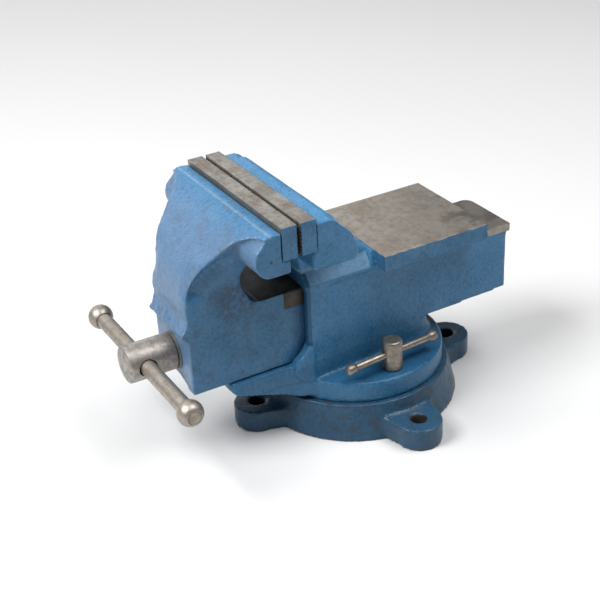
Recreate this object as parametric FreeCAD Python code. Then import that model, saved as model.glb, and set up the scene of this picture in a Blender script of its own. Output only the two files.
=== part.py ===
"""Swivel-base bench vise with anvil, 150 mm jaws.

Origin: swivel axis on the underside of the base.  +Z up, +X towards the anvil and tail,
-Y the side where the handle's near knob hangs.  All lengths in millimetres.
"""
import FreeCAD, Part
import math
import os

V = FreeCAD.Vector
AXIS_X = V(1, 0, 0)
AXIS_Y = V(0, 1, 0)
AXIS_Z = V(0, 0, 1)

# ---- fits and gaps ----
RUN = 0.06            # radial clearance of a running fit
SCREW_FIT = 0.05      # radial clearance round a fixed thread or stud
CLEAR = 0.3           # gap between separate moving castings
SEAT_GAP = 0.1        # gap between faces that bear on each other

# ---- base ----
BASE_TOP = 29.5
BASE_R_TOP = 77.5
BASE_R_BOTTOM = 85.0
LUG_CIRCLE_R = 94.5
LUG_END_R = 19.0
LUG_TOP = 18.5
LUG_ROOT_R = 66.0
LUG_ROOT_HALF = 27.0
LUG_HOLE_R = 6.5
LUG_COUNT = 4
SLOT_R = 57.5          # circle that the lock bolts run on
SLOT_NECK_HALF = 5.5
SLOT_ROOM_HALF = 10.5
SLOT_ROOM_BOTTOM = 9.0
SLOT_ROOM_TOP = 20.0
PIVOT_R = 8.0
PIVOT_HEAD_R = 13.0
PIVOT_RECESS_R = 17.0
PIVOT_RECESS_TOP = 13.5
PIVOT_HEAD_BOTTOM = 3.0
PIVOT_HEAD_TOP = 13.0
PIVOT_END = 61.0
PIVOT_WASHER_R = 15.0
PIVOT_WASHER_T = 3.0
PIVOT_NUT_H = 11.0

# ---- swivel disc, pedestal and nose ----
DISC_BOTTOM = BASE_TOP + 0.2
DISC_TOP = 47.2
DISC_R = 73.3
POCKET_R = 16.5
POCKET_FLOOR = 45.0
CHANNEL_FLOOR = 63.0
NOSE_TIP_X = -131.0
NOSE_HALF = 33.0
NOSE_CORNER_R = 8.0
NOSE_TOP = 62.8

# ---- box of the fixed jaw ----
BOX_FRONT_X = -64.0
BOX_TAIL_X = 134.0
BOX_FRONT_HALF = 38.0
BOX_TAIL_HALF = 29.5
BOX_BOTTOM = 66.0
BOX_TOP = 130.0
PEDESTAL_REAR_X = 66.0
PEDESTAL_CORNER_R = 28.0
MOUTH_HALF = 30.3
MOUTH_END_X = -31.0
CHANNEL_HALF = 22.4
CHANNEL_TOP = 128.0
CHANNEL_DEEP_END_X = 45.0
CHANNEL_SHALLOW_Z = 74.5
CHANNEL_END_X = 96.0
TAIL_ROOM_HALF = 20.0
TAIL_ROOM_TOP = 110.0

# ---- anvil ----
ANVIL_FRONT_X = 0.0
ANVIL_REAR_X = 99.0
ANVIL_HALF = 49.0
ANVIL_TOP = 143.0
ANVIL_DEPTH = 14.5
STEP_REAR_X = 137.5
STEP_HALF = 29.5
STEP_TOP = 125.0
STEP_T = 7.3
STEP_CORNER_R = 8.0

# ---- jaws ----
JAW_HALF = 75.0
JAW_TOP = 207.0
PLATE_BOTTOM = 181.0
PLATE_T = 13.1
PLATE_BODY_TOP = 203.3
FIXED_FACE_X = -87.6
JAW_GAP = 1.8
MOVING_FACE_X = FIXED_FACE_X - JAW_GAP
TOOTH_PITCH = 3.0
TOOTH_DEPTH = 1.1
SCREW_HOLE_Y = 42.0
SCREW_HOLE_Z = 190.5
CAP_HEAD_R = 6.0
CAP_HEAD_LEN = 7.0
CAP_SHANK_R = 4.0
CAP_SHANK_LEN = 20.0
CAP_SOCKET_AF = 6.0
CAP_SOCKET_DEPTH = 4.0

# ---- moving jaw slide ----
APRON_FRONT_X = -162.0
APRON_HALF = 29.7
APRON_REAR_X = -34.0
APRON_BOTTOM = 64.0
SLIDE_TOP = 127.6
SLIDE_HALF = 22.0
SLIDE_REAR_X = 93.0
SLIDE_DEEP_END_X = 33.0
SLIDE_SHALLOW_Z = 76.0
HOLLOW_TOP = 118.5
APRON_HOLLOW_HALF = 21.6
SLIDE_HOLLOW_HALF = 16.0
FRONT_WALL_T = 14.0
GUIDE_FRONT_X = -80.0
GUIDE_LOW = 113.0
GUIDE_DEPTH = 0.5

# ---- lead screw ----
SCREW_Z = 91.0
HEAD_FRONT_X = -204.6
HEAD_REAR_X = -164.3
HEAD_R = 14.8
HEAD_CROWN = 2.0
JOURNAL_R = 11.0
JOURNAL_END_X = -133.0
THREAD_R = 10.4
THREAD_ROOT_R = 8.4
THREAD_PITCH = 5.0
THREAD_END_X = 103.0
WASHER_R = 15.0
WASHER_T = 2.0
SPRING_R = 16.0
SPRING_T = 2.6
COLLAR_R = 17.0
COLLAR_FRONT_X = -144.8
COLLAR_LEN = 10.0
PIN_R = 2.5
PIN_HALF = 16.6
NUT_FRONT_X = -57.0
NUT_REAR_X = -25.0
NUT_HALF = 15.0
NUT_TOP = 110.0
NUT_BOLT_XS = (-49.0, -33.0)
NUT_BOLT_R = 4.0
NUT_BOLT_HEAD_R = 6.5
NUT_BOLT_HEAD_BOTTOM = 31.0
NUT_BOLT_HEAD_TOP = 38.0
NUT_BOLT_END = 75.0

# ---- handle ----
HANDLE_X = -189.5
HANDLE_R = 6.3
HANDLE_FAR_Y = 79.0
HANDLE_NEAR_Y = -85.0
KNOB_R = 10.0
KNOB_FLAT = 7.6
KNOB_SEAT = 5.0

# ---- lock bolts ----
LOCK_HEAD_R = 8.25
LOCK_HEAD_TOP = 73.0
LOCK_SHANK_R = 5.0
LOCK_END = 10.5
LOCK_BAR_R = 3.0
LOCK_BAR_Z = 60.6
LOCK_BAR_HALF = 40.6
LOCK_BAR_TURN = 4.5    # degrees that the bar lies off the X axis at rest
LOCK_KNOB_R = 4.75
LOCK_KNOB_SEAT = 2.5
CLAMP_NUT_HALF_T = 12.0
CLAMP_NUT_HALF_R = 9.0
CLAMP_NUT_TOP = 19.7
CLAMP_NUT_BOTTOM = 9.6


# ---- shape helpers ----
def block(x0, x1, y0, y1, z0, z1):
    """Axis-aligned block between two corners."""
    return Part.makeBox(x1 - x0, y1 - y0, z1 - z0, V(x0, y0, z0))


def disc(radius, z0, z1, x=0.0, y=0.0):
    """Upright cylinder."""
    return Part.makeCylinder(radius, z1 - z0, V(x, y, z0), AXIS_Z)


def rod_x(radius, x0, x1, y=0.0, z=SCREW_Z):
    """Cylinder along X."""
    return Part.makeCylinder(radius, x1 - x0, V(x0, y, z), AXIS_X)


def side_plate(edges, half):
    """Closed outline in the XZ plane, given as edges, extruded from -half to +half along Y."""
    face = Part.Face(Part.Wire(edges))
    face.translate(V(0, -half, 0))
    return face.extrude(V(0, 2 * half, 0))


def outline(points, plane):
    """Edges through points; a nested triple (start, mid, end) is an arc.  plane maps (u, v) to a vector."""
    edges = []
    for segment in points:
        spots = [plane(*uv) for uv in segment]
        if len(spots) == 3:
            edges.append(Part.Arc(*spots).toShape())
        else:
            edges.append(Part.LineSegment(*spots).toShape())
    return edges


def xz(u, v):
    """Point in the side-view plane."""
    return V(u, 0, v)


def yz(u, v):
    """Point in the front-view plane."""
    return V(0, u, v)


def xy(u, v):
    """Point in the plan-view plane."""
    return V(u, v, 0)


def join(path):
    """Turn a run of points, with arcs marked by ('arc', mid, end), into a closed list of segments."""
    segments = []
    here = path[0]
    for step in path[1:]:
        if step[0] == "arc":
            segments.append((here, step[1], step[2]))
            here = step[2]
        else:
            segments.append((here, step))
            here = step
    segments.append((here, path[0]))
    return segments


def hex_prism(across_flats, z0, z1):
    """Upright hexagonal prism on the Z axis."""
    radius = across_flats / math.sqrt(3)
    corners = [V(radius * math.cos(math.radians(a)), radius * math.sin(math.radians(a)), z0)
               for a in range(0, 361, 60)]
    return Part.Face(Part.makePolygon(corners)).extrude(V(0, 0, z1 - z0))


# ---- base and pivot ----
def lug():
    """One bolt lug along +X, before its hole."""
    root = xy(LUG_ROOT_R, -LUG_ROOT_HALF)
    tip = xy(LUG_CIRCLE_R, -LUG_END_R)
    corners = [root, tip, xy(tip.x, -tip.y), xy(root.x, -root.y), root]
    web = Part.Face(Part.makePolygon(corners)).extrude(V(0, 0, LUG_TOP))
    return web.fuse(disc(LUG_END_R, 0, LUG_TOP, LUG_CIRCLE_R))


def swivel_base():
    """Round base casting with four bolt lugs, a T-slot ring and a pivot hole."""
    base = Part.makeCone(BASE_R_BOTTOM, BASE_R_TOP, BASE_TOP)
    for index in range(LUG_COUNT):
        ear = lug()
        ear.rotate(V(0, 0, 0), AXIS_Z, index * 360 / LUG_COUNT)
        base = base.fuse(ear)
    for index in range(LUG_COUNT):
        hole = disc(LUG_HOLE_R, -1, LUG_TOP + 1, LUG_CIRCLE_R)
        hole.rotate(V(0, 0, 0), AXIS_Z, index * 360 / LUG_COUNT)
        base = base.cut(hole)
    neck = disc(SLOT_R + SLOT_NECK_HALF, SLOT_ROOM_BOTTOM, BASE_TOP + 1)
    neck = neck.cut(disc(SLOT_R - SLOT_NECK_HALF, 0, BASE_TOP + 2))
    room = disc(SLOT_R + SLOT_ROOM_HALF, SLOT_ROOM_BOTTOM, SLOT_ROOM_TOP)
    room = room.cut(disc(SLOT_R - SLOT_ROOM_HALF, 0, BASE_TOP))
    base = base.cut(neck).cut(room)
    base = base.cut(disc(PIVOT_R + CLEAR, -1, BASE_TOP + 1))
    base = base.cut(disc(PIVOT_RECESS_R, -1, PIVOT_RECESS_TOP))
    return base.removeSplitter()


def pivot_bolt():
    """Hexagon bolt up through the base and the disc."""
    head = hex_prism(2 * PIVOT_HEAD_R, PIVOT_HEAD_BOTTOM, PIVOT_HEAD_TOP)
    return head.fuse(disc(PIVOT_R, PIVOT_HEAD_TOP - 1, PIVOT_END)).removeSplitter()


def pivot_washer():
    """Washer under the pivot nut."""
    low = POCKET_FLOOR + SEAT_GAP
    ring = disc(PIVOT_WASHER_R, low, low + PIVOT_WASHER_T)
    return ring.cut(disc(PIVOT_R + SCREW_FIT, 0, PIVOT_END))


def pivot_nut():
    """Hexagon nut on the pivot bolt."""
    low = POCKET_FLOOR + PIVOT_WASHER_T + 2 * SEAT_GAP
    body = hex_prism(2 * PIVOT_HEAD_R, low, low + PIVOT_NUT_H)
    return body.cut(disc(PIVOT_R + SCREW_FIT, 0, PIVOT_END + 1))


# ---- fixed body ----
def half_width(x):
    """Half-width of the box, which tapers from its mouth to its tail."""
    share = (x - BOX_FRONT_X) / (BOX_TAIL_X - BOX_FRONT_X)
    return BOX_FRONT_HALF + share * (BOX_TAIL_HALF - BOX_FRONT_HALF)


def tapered_box(x0, x1, z0, z1):
    """Slice of the box between two X stations, with its tapering sides."""
    corners = [xy(x0, -half_width(x0)), xy(x1, -half_width(x1)), xy(x1, half_width(x1)),
               xy(x0, half_width(x0)), xy(x0, -half_width(x0))]
    face = Part.Face(Part.makePolygon(corners))
    face.translate(V(0, 0, z0))
    return face.extrude(V(0, 0, z1 - z0))


def pedestal():
    """Neck between the disc and the box: rounded rear corners, rear wall swept out to the disc."""
    plan = tapered_box(BOX_FRONT_X, PEDESTAL_REAR_X, DISC_TOP - 1, BOX_TOP)
    rear_edges = [edge for edge in plan.Edges
                  if all(abs(v.X - PEDESTAL_REAR_X) < 0.01 for v in edge.Vertexes)
                  and abs(edge.Vertexes[0].Z - edge.Vertexes[1].Z) > 1]
    plan = plan.makeFillet(PEDESTAL_CORNER_R, rear_edges)
    sweep = join([(BOX_FRONT_X - 1, DISC_TOP - 1), (PEDESTAL_REAR_X, DISC_TOP - 1),
                  (PEDESTAL_REAR_X, DISC_TOP + 1),
                  ("arc", (PEDESTAL_REAR_X - 9.5, DISC_TOP + 8), (PEDESTAL_REAR_X - 12, BOX_BOTTOM + 2)),
                  (BOX_FRONT_X - 1, BOX_BOTTOM + 2)])
    return plan.common(side_plate(outline(sweep, xz), BOX_FRONT_HALF + 1))


def toe():
    """Rounded toes that the side walls stand on at the mouth."""
    root_x = BOX_FRONT_X + 4
    low = DISC_TOP - 1
    path = join([(root_x, low), (-67.0, low), (-72.5, 50.5), ("arc", (-78.2, 60.0), (-75.0, 68.0)),
                 ("arc", (-68.5, 73.5), (BOX_FRONT_X - 0.2, 80.0)), (root_x, 80.0)])
    return side_plate(outline(path, xz), BOX_FRONT_HALF + 1.5)


def nose():
    """Tongue under the moving jaw, tapering down to the disc."""
    shoulder_x = -85.0
    root_x = -52.0
    root_half = 44.0
    tip = NOSE_TIP_X
    plan = join([(tip, -NOSE_HALF + NOSE_CORNER_R),
                 ("arc", (tip + 2.4, -NOSE_HALF + 2.4), (tip + NOSE_CORNER_R, -NOSE_HALF)),
                 (shoulder_x, -NOSE_HALF), (root_x, -root_half), (root_x, root_half),
                 (shoulder_x, NOSE_HALF), (tip + NOSE_CORNER_R, NOSE_HALF),
                 ("arc", (tip + 2.4, NOSE_HALF - 2.4), (tip, NOSE_HALF - NOSE_CORNER_R))])
    body = Part.Face(Part.Wire(outline(plan, xy)))
    body.translate(V(0, 0, DISC_BOTTOM))
    body = body.extrude(V(0, 0, NOSE_TOP - DISC_BOTTOM))
    side = join([(tip, NOSE_TOP), (tip, NOSE_TOP - 5), ("arc", (tip + 3, NOSE_TOP - 10), (tip + 8, NOSE_TOP - 12)),
                 (-72.0, DISC_BOTTOM + 4), (root_x, DISC_BOTTOM + 4), (root_x, DISC_TOP),
                 (-66.0, DISC_TOP), (-80.0, NOSE_TOP)])
    return body.common(side_plate(outline(side, xz), root_half + 1))


def fixed_wing():
    """Cross-bar of the fixed jaw, full jaw width."""
    back = FIXED_FACE_X + PLATE_T
    ledge_x = back - 3.2
    seat = back + CLEAR
    path = join([(ledge_x, 165), (ledge_x, PLATE_BOTTOM - CLEAR), (seat, PLATE_BOTTOM - CLEAR),
                 (seat, PLATE_BODY_TOP), (-61.5, PLATE_BODY_TOP - 0.6),
                 ("arc", (-57.5, 200.5), (-54, 196)), ("arc", (-43.5, 185.5), (-38.5, 173)),
                 ("arc", (-38.6, 168), (-42, 165))])
    return side_plate(outline(path, xz), JAW_HALF)


def fixed_chest():
    """Middle of the fixed jaw, from the mouth up to the cross-bar and back to the anvil."""
    seat = FIXED_FACE_X + PLATE_T + CLEAR
    foot = (ANVIL_FRONT_X - 0.5, ANVIL_TOP - 1)
    side = join([(-64.5, BOX_TOP - 2), (-64.5, 136), ("arc", (-67.5, 151), (-77.7, 165)),
                 (-77.7, PLATE_BOTTOM - CLEAR), (seat, PLATE_BOTTOM - CLEAR), (seat, PLATE_BODY_TOP),
                 (-59.5, PLATE_BODY_TOP - 0.6), ("arc", (-55.5, 200.5), (-52, 195)),
                 ("arc", (-39.5, 177), (-26, 160.5)), ("arc", (-14.5, 149.5), foot),
                 (foot[0], BOX_TOP - 2)])
    front = join([(-BOX_FRONT_HALF, BOX_TOP - 2), (-BOX_FRONT_HALF, BOX_TOP + 1), (-30.5, 142),
                  ("arc", (-39, 160), (-70, 178)), (-70, 190), ("arc", (-66, 200), (-56, JAW_TOP)),
                  (56, JAW_TOP), ("arc", (66, 200), (70, 190)), (70, 178), ("arc", (39, 160), (30.5, 142)),
                  (BOX_FRONT_HALF, BOX_TOP + 1), (BOX_FRONT_HALF, BOX_TOP - 2)])
    face = Part.Face(Part.Wire(outline(front, yz)))
    face.translate(V(-90, 0, 0))
    return side_plate(outline(side, xz), JAW_HALF).common(face.extrude(V(100, 0, 0)))


def anvil():
    """Anvil block and the lower cutting step behind it."""
    top = block(ANVIL_FRONT_X, ANVIL_REAR_X, -ANVIL_HALF, ANVIL_HALF, ANVIL_TOP - ANVIL_DEPTH, ANVIL_TOP)
    step = block(ANVIL_REAR_X - 4, STEP_REAR_X, -STEP_HALF, STEP_HALF, STEP_TOP - STEP_T, STEP_TOP)
    corners = [edge for edge in step.Edges
               if all(abs(v.X - STEP_REAR_X) < 0.01 for v in edge.Vertexes)
               and abs(edge.Vertexes[0].Z - edge.Vertexes[1].Z) > 1
               and edge.Vertexes[0].Y > 0]
    return top.fuse(step.makeFillet(STEP_CORNER_R, corners))


def channel():
    """Space inside the box for the slide, the nut and the screw."""
    mouth = block(BOX_FRONT_X - 20, MOUTH_END_X, -MOUTH_HALF, MOUTH_HALF, CHANNEL_FLOOR, CHANNEL_TOP)
    deep = block(MOUTH_END_X - 1, CHANNEL_DEEP_END_X, -CHANNEL_HALF, CHANNEL_HALF, CHANNEL_FLOOR, CHANNEL_TOP)
    shallow = block(CHANNEL_DEEP_END_X - 1, CHANNEL_END_X, -CHANNEL_HALF, CHANNEL_HALF,
                    CHANNEL_SHALLOW_Z, CHANNEL_TOP)
    tail = block(CHANNEL_END_X - 1, BOX_TAIL_X + 1, -TAIL_ROOM_HALF, TAIL_ROOM_HALF,
                 CHANNEL_SHALLOW_Z, TAIL_ROOM_TOP)
    return mouth.fuse([deep, shallow, tail])


def fixed_body():
    """Fixed jaw, box, anvil, pedestal, nose and swivel disc in one casting."""
    plate_back = FIXED_FACE_X + PLATE_T
    box_front = tapered_box(BOX_FRONT_X, ANVIL_REAR_X, BOX_BOTTOM, BOX_TOP)
    box_tail = tapered_box(ANVIL_REAR_X - 1, BOX_TAIL_X, BOX_BOTTOM, STEP_TOP - 0.5)
    body = disc(DISC_R, DISC_BOTTOM, DISC_TOP).fuse([pedestal(), toe(), nose(), box_front, box_tail])
    body = body.fuse([fixed_wing(), fixed_chest(), anvil()]).cut(channel())
    body = body.cut(disc(PIVOT_R + CLEAR, 0, POCKET_FLOOR + 1)).cut(disc(POCKET_R, POCKET_FLOOR, BOX_BOTTOM))
    for x in NUT_BOLT_XS:
        body = body.cut(disc(NUT_BOLT_R + CLEAR, 0, BOX_BOTTOM, x))
        body = body.cut(disc(NUT_BOLT_HEAD_R + 0.7, 0, NUT_BOLT_HEAD_TOP + SEAT_GAP, x))
    for side in (-1, 1):
        body = body.cut(disc(LOCK_SHANK_R + CLEAR, 0, DISC_TOP + 1, 0, side * SLOT_R))
        tip = plate_back + CAP_SHANK_LEN
        body = body.cut(rod_x(CAP_SHANK_R + SCREW_FIT, plate_back - 1, tip, side * SCREW_HOLE_Y, SCREW_HOLE_Z))
    return body.removeSplitter()


# ---- moving jaw ----
def moving_wing():
    """Cross-bar of the moving jaw: flat top, rounded nose, ledge for the plate."""
    back = MOVING_FACE_X - PLATE_T
    ledge_x = back + 6.6
    seat = back - CLEAR
    path = join([(seat, PLATE_BODY_TOP), (seat, PLATE_BOTTOM - CLEAR), (ledge_x, PLATE_BOTTOM - CLEAR),
                 (ledge_x, 171.5), ("arc", (ledge_x - 0.6, 170.3), (ledge_x - 2, 169.8)), (-114, 169.8),
                 ("arc", (-122.3, 176), (-125, 185)), ("arc", (-124, 190.5), (-120, 195.5)),
                 (-112.5, PLATE_BODY_TOP), ("arc", (-111.7, 204), (-110.5, PLATE_BODY_TOP + 0.9))])
    return side_plate(outline(path, xz), JAW_HALF)


def moving_chest():
    """Bulging front of the moving jaw, narrowing from the cross-bar to the slide."""
    seat = MOVING_FACE_X - PLATE_T - CLEAR
    side = join([(seat, PLATE_BODY_TOP), (seat, 169.8), ("arc", (-113, 157), (-110, 136)),
                 ("arc", (-107, 130), (-102, SLIDE_TOP)), (-102, SLIDE_TOP - 4), (APRON_FRONT_X, SLIDE_TOP - 4),
                 (APRON_FRONT_X, 131), ("arc", (-158.4, 160), (-140, 185)),
                 ("arc", (-126, 197.5), (-110.5, PLATE_BODY_TOP + 0.9))])
    front = join([(-APRON_HALF, 120), (-APRON_HALF, 150), ("arc", (-38.5, 171.5), (-54, 195)),
                  ("arc", (-63, 199.5), (-JAW_HALF, 202)), (-JAW_HALF, JAW_TOP), (JAW_HALF, JAW_TOP),
                  (JAW_HALF, 202), ("arc", (63, 199.5), (54, 195)), ("arc", (38.5, 171.5), (APRON_HALF, 150)),
                  (APRON_HALF, 120)])
    face = Part.Face(Part.Wire(outline(front, yz)))
    face.translate(V(-170, 0, 0))
    return side_plate(outline(side, xz), JAW_HALF).common(face.extrude(V(90, 0, 0)))


def brow():
    """Lip over the lead screw."""
    tip = APRON_FRONT_X - 5
    path = join([(APRON_FRONT_X + 1, 111), (tip + 1.5, 114), ("arc", (tip, 115.5), (tip + 0.4, 118)),
                 ("arc", (tip + 3, 122), (APRON_FRONT_X + 0.2, 129)), (APRON_FRONT_X + 2, 129)])
    return side_plate(outline(path, xz), APRON_HALF)


def slide():
    """Inverted-U apron and slide, with the screw hole in its front wall."""
    apron = block(APRON_FRONT_X, APRON_REAR_X, -APRON_HALF, APRON_HALF, APRON_BOTTOM, SLIDE_TOP)
    deep = block(APRON_REAR_X - 1, SLIDE_DEEP_END_X, -SLIDE_HALF, SLIDE_HALF, APRON_BOTTOM, SLIDE_TOP)
    rear = block(SLIDE_DEEP_END_X - 1, SLIDE_REAR_X, -SLIDE_HALF, SLIDE_HALF, SLIDE_SHALLOW_Z, SLIDE_TOP)
    wall = APRON_FRONT_X + FRONT_WALL_T
    room = block(wall, APRON_REAR_X - 5, -APRON_HOLLOW_HALF, APRON_HOLLOW_HALF, 0, HOLLOW_TOP)
    tunnel = block(wall, SLIDE_REAR_X + 1, -SLIDE_HOLLOW_HALF, SLIDE_HOLLOW_HALF, 0, HOLLOW_TOP)
    arch_half = APRON_HOLLOW_HALF - 2
    arch = join([(-arch_half, 0), (-arch_half, 66), ("arc", (0, 71), (arch_half, 66)), (arch_half, 0)])
    face = Part.Face(Part.Wire(outline(arch, yz)))
    face.translate(V(APRON_FRONT_X - 1, 0, 0))
    doorway = face.extrude(V(FRONT_WALL_T + 2, 0, 0))
    guide = APRON_HALF - GUIDE_DEPTH
    guides = [block(GUIDE_FRONT_X, APRON_REAR_X + 1, *sorted((side * guide, side * (APRON_HALF + 1))),
                    GUIDE_LOW, SLIDE_TOP + 1) for side in (-1, 1)]
    return apron.fuse([deep, rear]).cut(room.fuse([tunnel, doorway])).cut(guides)


def movable_jaw():
    """Moving jaw, apron and slide in one casting."""
    plate_back = MOVING_FACE_X - PLATE_T
    jaw = slide().fuse([moving_chest(), moving_wing(), brow()])
    jaw = jaw.cut(rod_x(JOURNAL_R + RUN, APRON_FRONT_X - 8, APRON_FRONT_X + FRONT_WALL_T + 1))
    for side in (-1, 1):
        tip = plate_back - CAP_SHANK_LEN
        jaw = jaw.cut(rod_x(CAP_SHANK_R + SCREW_FIT, tip, plate_back + 1, side * SCREW_HOLE_Y, SCREW_HOLE_Z))
    return jaw.removeSplitter()


# ---- jaw plates ----
def toothed_plate(face_x, into):
    """Jaw plate with upright teeth; into is +1 where the metal lies on the +X side of the face."""
    back = face_x + into * PLATE_T
    count = round(2 * JAW_HALF / TOOTH_PITCH)
    points = [V(back, -JAW_HALF, PLATE_BOTTOM)]
    for index in range(count):
        y = -JAW_HALF + index * TOOTH_PITCH
        points.append(V(face_x + into * TOOTH_DEPTH, y, PLATE_BOTTOM))
        points.append(V(face_x, y + TOOTH_PITCH / 2, PLATE_BOTTOM))
    points.append(V(face_x + into * TOOTH_DEPTH, JAW_HALF, PLATE_BOTTOM))
    points.append(V(back, JAW_HALF, PLATE_BOTTOM))
    points.append(points[0])
    plate = Part.Face(Part.makePolygon(points)).extrude(V(0, 0, JAW_TOP - PLATE_BOTTOM))
    for side in (-1, 1):
        y = side * SCREW_HOLE_Y
        ends = sorted((face_x - into, back + into))
        plate = plate.cut(rod_x(CAP_SHANK_R + CLEAR, ends[0], ends[1], y, SCREW_HOLE_Z))
        floor = face_x + into * (CAP_HEAD_LEN + TOOTH_DEPTH + SEAT_GAP)
        ends = sorted((face_x - into, floor))
        plate = plate.cut(rod_x(CAP_HEAD_R + CLEAR, ends[0], ends[1], y, SCREW_HOLE_Z))
    return plate


def plate_screws(face_x, into):
    """Two socket-head screws that hold a jaw plate."""
    head_x = face_x + into * TOOTH_DEPTH
    shank_end = face_x + into * (PLATE_T + CAP_SHANK_LEN - 1)
    solids = []
    for side in (-1, 1):
        y = side * SCREW_HOLE_Y
        ends = sorted((head_x, head_x + into * CAP_HEAD_LEN))
        head = rod_x(CAP_HEAD_R, ends[0], ends[1], y, SCREW_HOLE_Z)
        ends = sorted((head_x + into, shank_end))
        shank = rod_x(CAP_SHANK_R, ends[0], ends[1], y, SCREW_HOLE_Z)
        socket = hex_prism(CAP_SOCKET_AF, 0, CAP_SOCKET_DEPTH)
        socket.rotate(V(0, 0, 0), AXIS_Y, 90 * into)
        socket.translate(V(head_x - into * 0.01, y, SCREW_HOLE_Z))
        solids.append(head.fuse(shank).cut(socket).removeSplitter())
    return Part.makeCompound(solids)


# ---- lead screw group ----
def lead_screw():
    """Head, journal and ringed thread, turned in one profile."""
    points = [(HEAD_FRONT_X, 0), (HEAD_FRONT_X, HEAD_R - 3), (HEAD_FRONT_X + HEAD_CROWN, HEAD_R),
              (HEAD_REAR_X, HEAD_R), (HEAD_REAR_X, JOURNAL_R), (JOURNAL_END_X, JOURNAL_R),
              (JOURNAL_END_X, THREAD_ROOT_R)]
    count = int((THREAD_END_X - JOURNAL_END_X) / THREAD_PITCH)
    quarter = THREAD_PITCH / 4
    for index in range(count):
        x = JOURNAL_END_X + index * THREAD_PITCH
        points += [(x + quarter, THREAD_ROOT_R), (x + 1.6 * quarter, THREAD_R),
                   (x + 3.4 * quarter, THREAD_R), (x + 4 * quarter, THREAD_ROOT_R)]
    points.append((JOURNAL_END_X + count * THREAD_PITCH, 0))
    corners = [V(x, 0, SCREW_Z + r) for x, r in points]
    face = Part.Face(Part.makePolygon(corners + [corners[0]]))
    screw = face.revolve(V(0, 0, SCREW_Z), AXIS_X, 360)
    bar_hole = Part.makeCylinder(HANDLE_R + RUN, 2 * HEAD_R + 2, V(HANDLE_X, -HEAD_R - 1, SCREW_Z), AXIS_Y)
    pin_x = COLLAR_FRONT_X + COLLAR_LEN / 2
    pin_hole = disc(PIN_R + SCREW_FIT, SCREW_Z - 20, SCREW_Z + 20, pin_x)
    return screw.cut(bar_hole).cut(pin_hole)


def ring_x(outer, inner, x0, x1):
    """Flat ring on the screw axis."""
    return rod_x(outer, x0, x1).cut(rod_x(inner, x0 - 1, x1 + 1))


def thrust_washer():
    """Washer between the screw head and the moving jaw."""
    front = HEAD_REAR_X + SEAT_GAP
    return ring_x(WASHER_R, JOURNAL_R + SCREW_FIT, front, front + WASHER_T)


def disc_spring():
    """Coned spring washer that takes up end play behind the front wall."""
    front = APRON_FRONT_X + FRONT_WALL_T + SEAT_GAP
    inner = JOURNAL_R + SCREW_FIT
    points = [(front, SPRING_R), (front + 1.6, inner), (front + SPRING_T + 0.3, inner), (front + 1.3, SPRING_R)]
    corners = [V(x, 0, SCREW_Z + r) for x, r in points]
    return Part.Face(Part.makePolygon(corners + [corners[0]])).revolve(V(0, 0, SCREW_Z), AXIS_X, 360)


def retaining_collar():
    """Collar pinned to the journal behind the front wall."""
    ring = ring_x(COLLAR_R, JOURNAL_R + SCREW_FIT, COLLAR_FRONT_X, COLLAR_FRONT_X + COLLAR_LEN)
    return ring.cut(disc(PIN_R + SCREW_FIT, SCREW_Z - 20, SCREW_Z + 20, COLLAR_FRONT_X + COLLAR_LEN / 2))


def collar_pin():
    """Pin through the collar and the journal."""
    return disc(PIN_R, SCREW_Z - PIN_HALF, SCREW_Z + PIN_HALF, COLLAR_FRONT_X + COLLAR_LEN / 2)


def main_nut():
    """Cast nut that stands on the channel floor inside the slide."""
    nut = block(NUT_FRONT_X, NUT_REAR_X, -NUT_HALF, NUT_HALF, CHANNEL_FLOOR + SEAT_GAP, NUT_TOP)
    nut = nut.cut(rod_x(THREAD_R + RUN, NUT_FRONT_X - 1, NUT_REAR_X + 1))
    for x in NUT_BOLT_XS:
        nut = nut.cut(disc(NUT_BOLT_R + SCREW_FIT, 0, NUT_BOLT_END + 1, x))
    return nut


def nut_bolts():
    """Two bolts from under the disc into the nut."""
    solids = []
    for x in NUT_BOLT_XS:
        head = disc(NUT_BOLT_HEAD_R, NUT_BOLT_HEAD_BOTTOM, NUT_BOLT_HEAD_TOP, x)
        shank = disc(NUT_BOLT_R, NUT_BOLT_HEAD_BOTTOM + 1, NUT_BOLT_END, x)
        solids.append(head.fuse(shank).removeSplitter())
    return Part.makeCompound(solids)


# ---- handle ----
def handle_bar():
    """Sliding handle bar."""
    low = HANDLE_NEAR_Y - KNOB_SEAT + 1
    high = HANDLE_FAR_Y + KNOB_SEAT - 1
    return Part.makeCylinder(HANDLE_R, high - low, V(HANDLE_X, low, SCREW_Z), AXIS_Y)


def knob(y, outward):
    """Ball knob with a flat end, bored to sit on the bar's end."""
    ball = Part.makeSphere(KNOB_R, V(HANDLE_X, y, SCREW_Z))
    ends = sorted((y - outward * KNOB_R, y + outward * KNOB_FLAT))
    ball = ball.common(Part.makeCylinder(KNOB_R + 1, ends[1] - ends[0], V(HANDLE_X, ends[0], SCREW_Z), AXIS_Y))
    ends = sorted((y - outward * (KNOB_R + 1), y + outward * KNOB_SEAT))
    hole = Part.makeCylinder(HANDLE_R + SCREW_FIT, ends[1] - ends[0], V(HANDLE_X, ends[0], SCREW_Z), AXIS_Y)
    return ball.cut(hole)


# ---- lock bolts ----
def bar_direction(side):
    """Direction of a lock bar at rest; side is -1 on the near side and +1 on the far side."""
    angle = math.radians(-side * LOCK_BAR_TURN)
    return V(math.cos(angle), math.sin(angle), 0)


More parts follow.
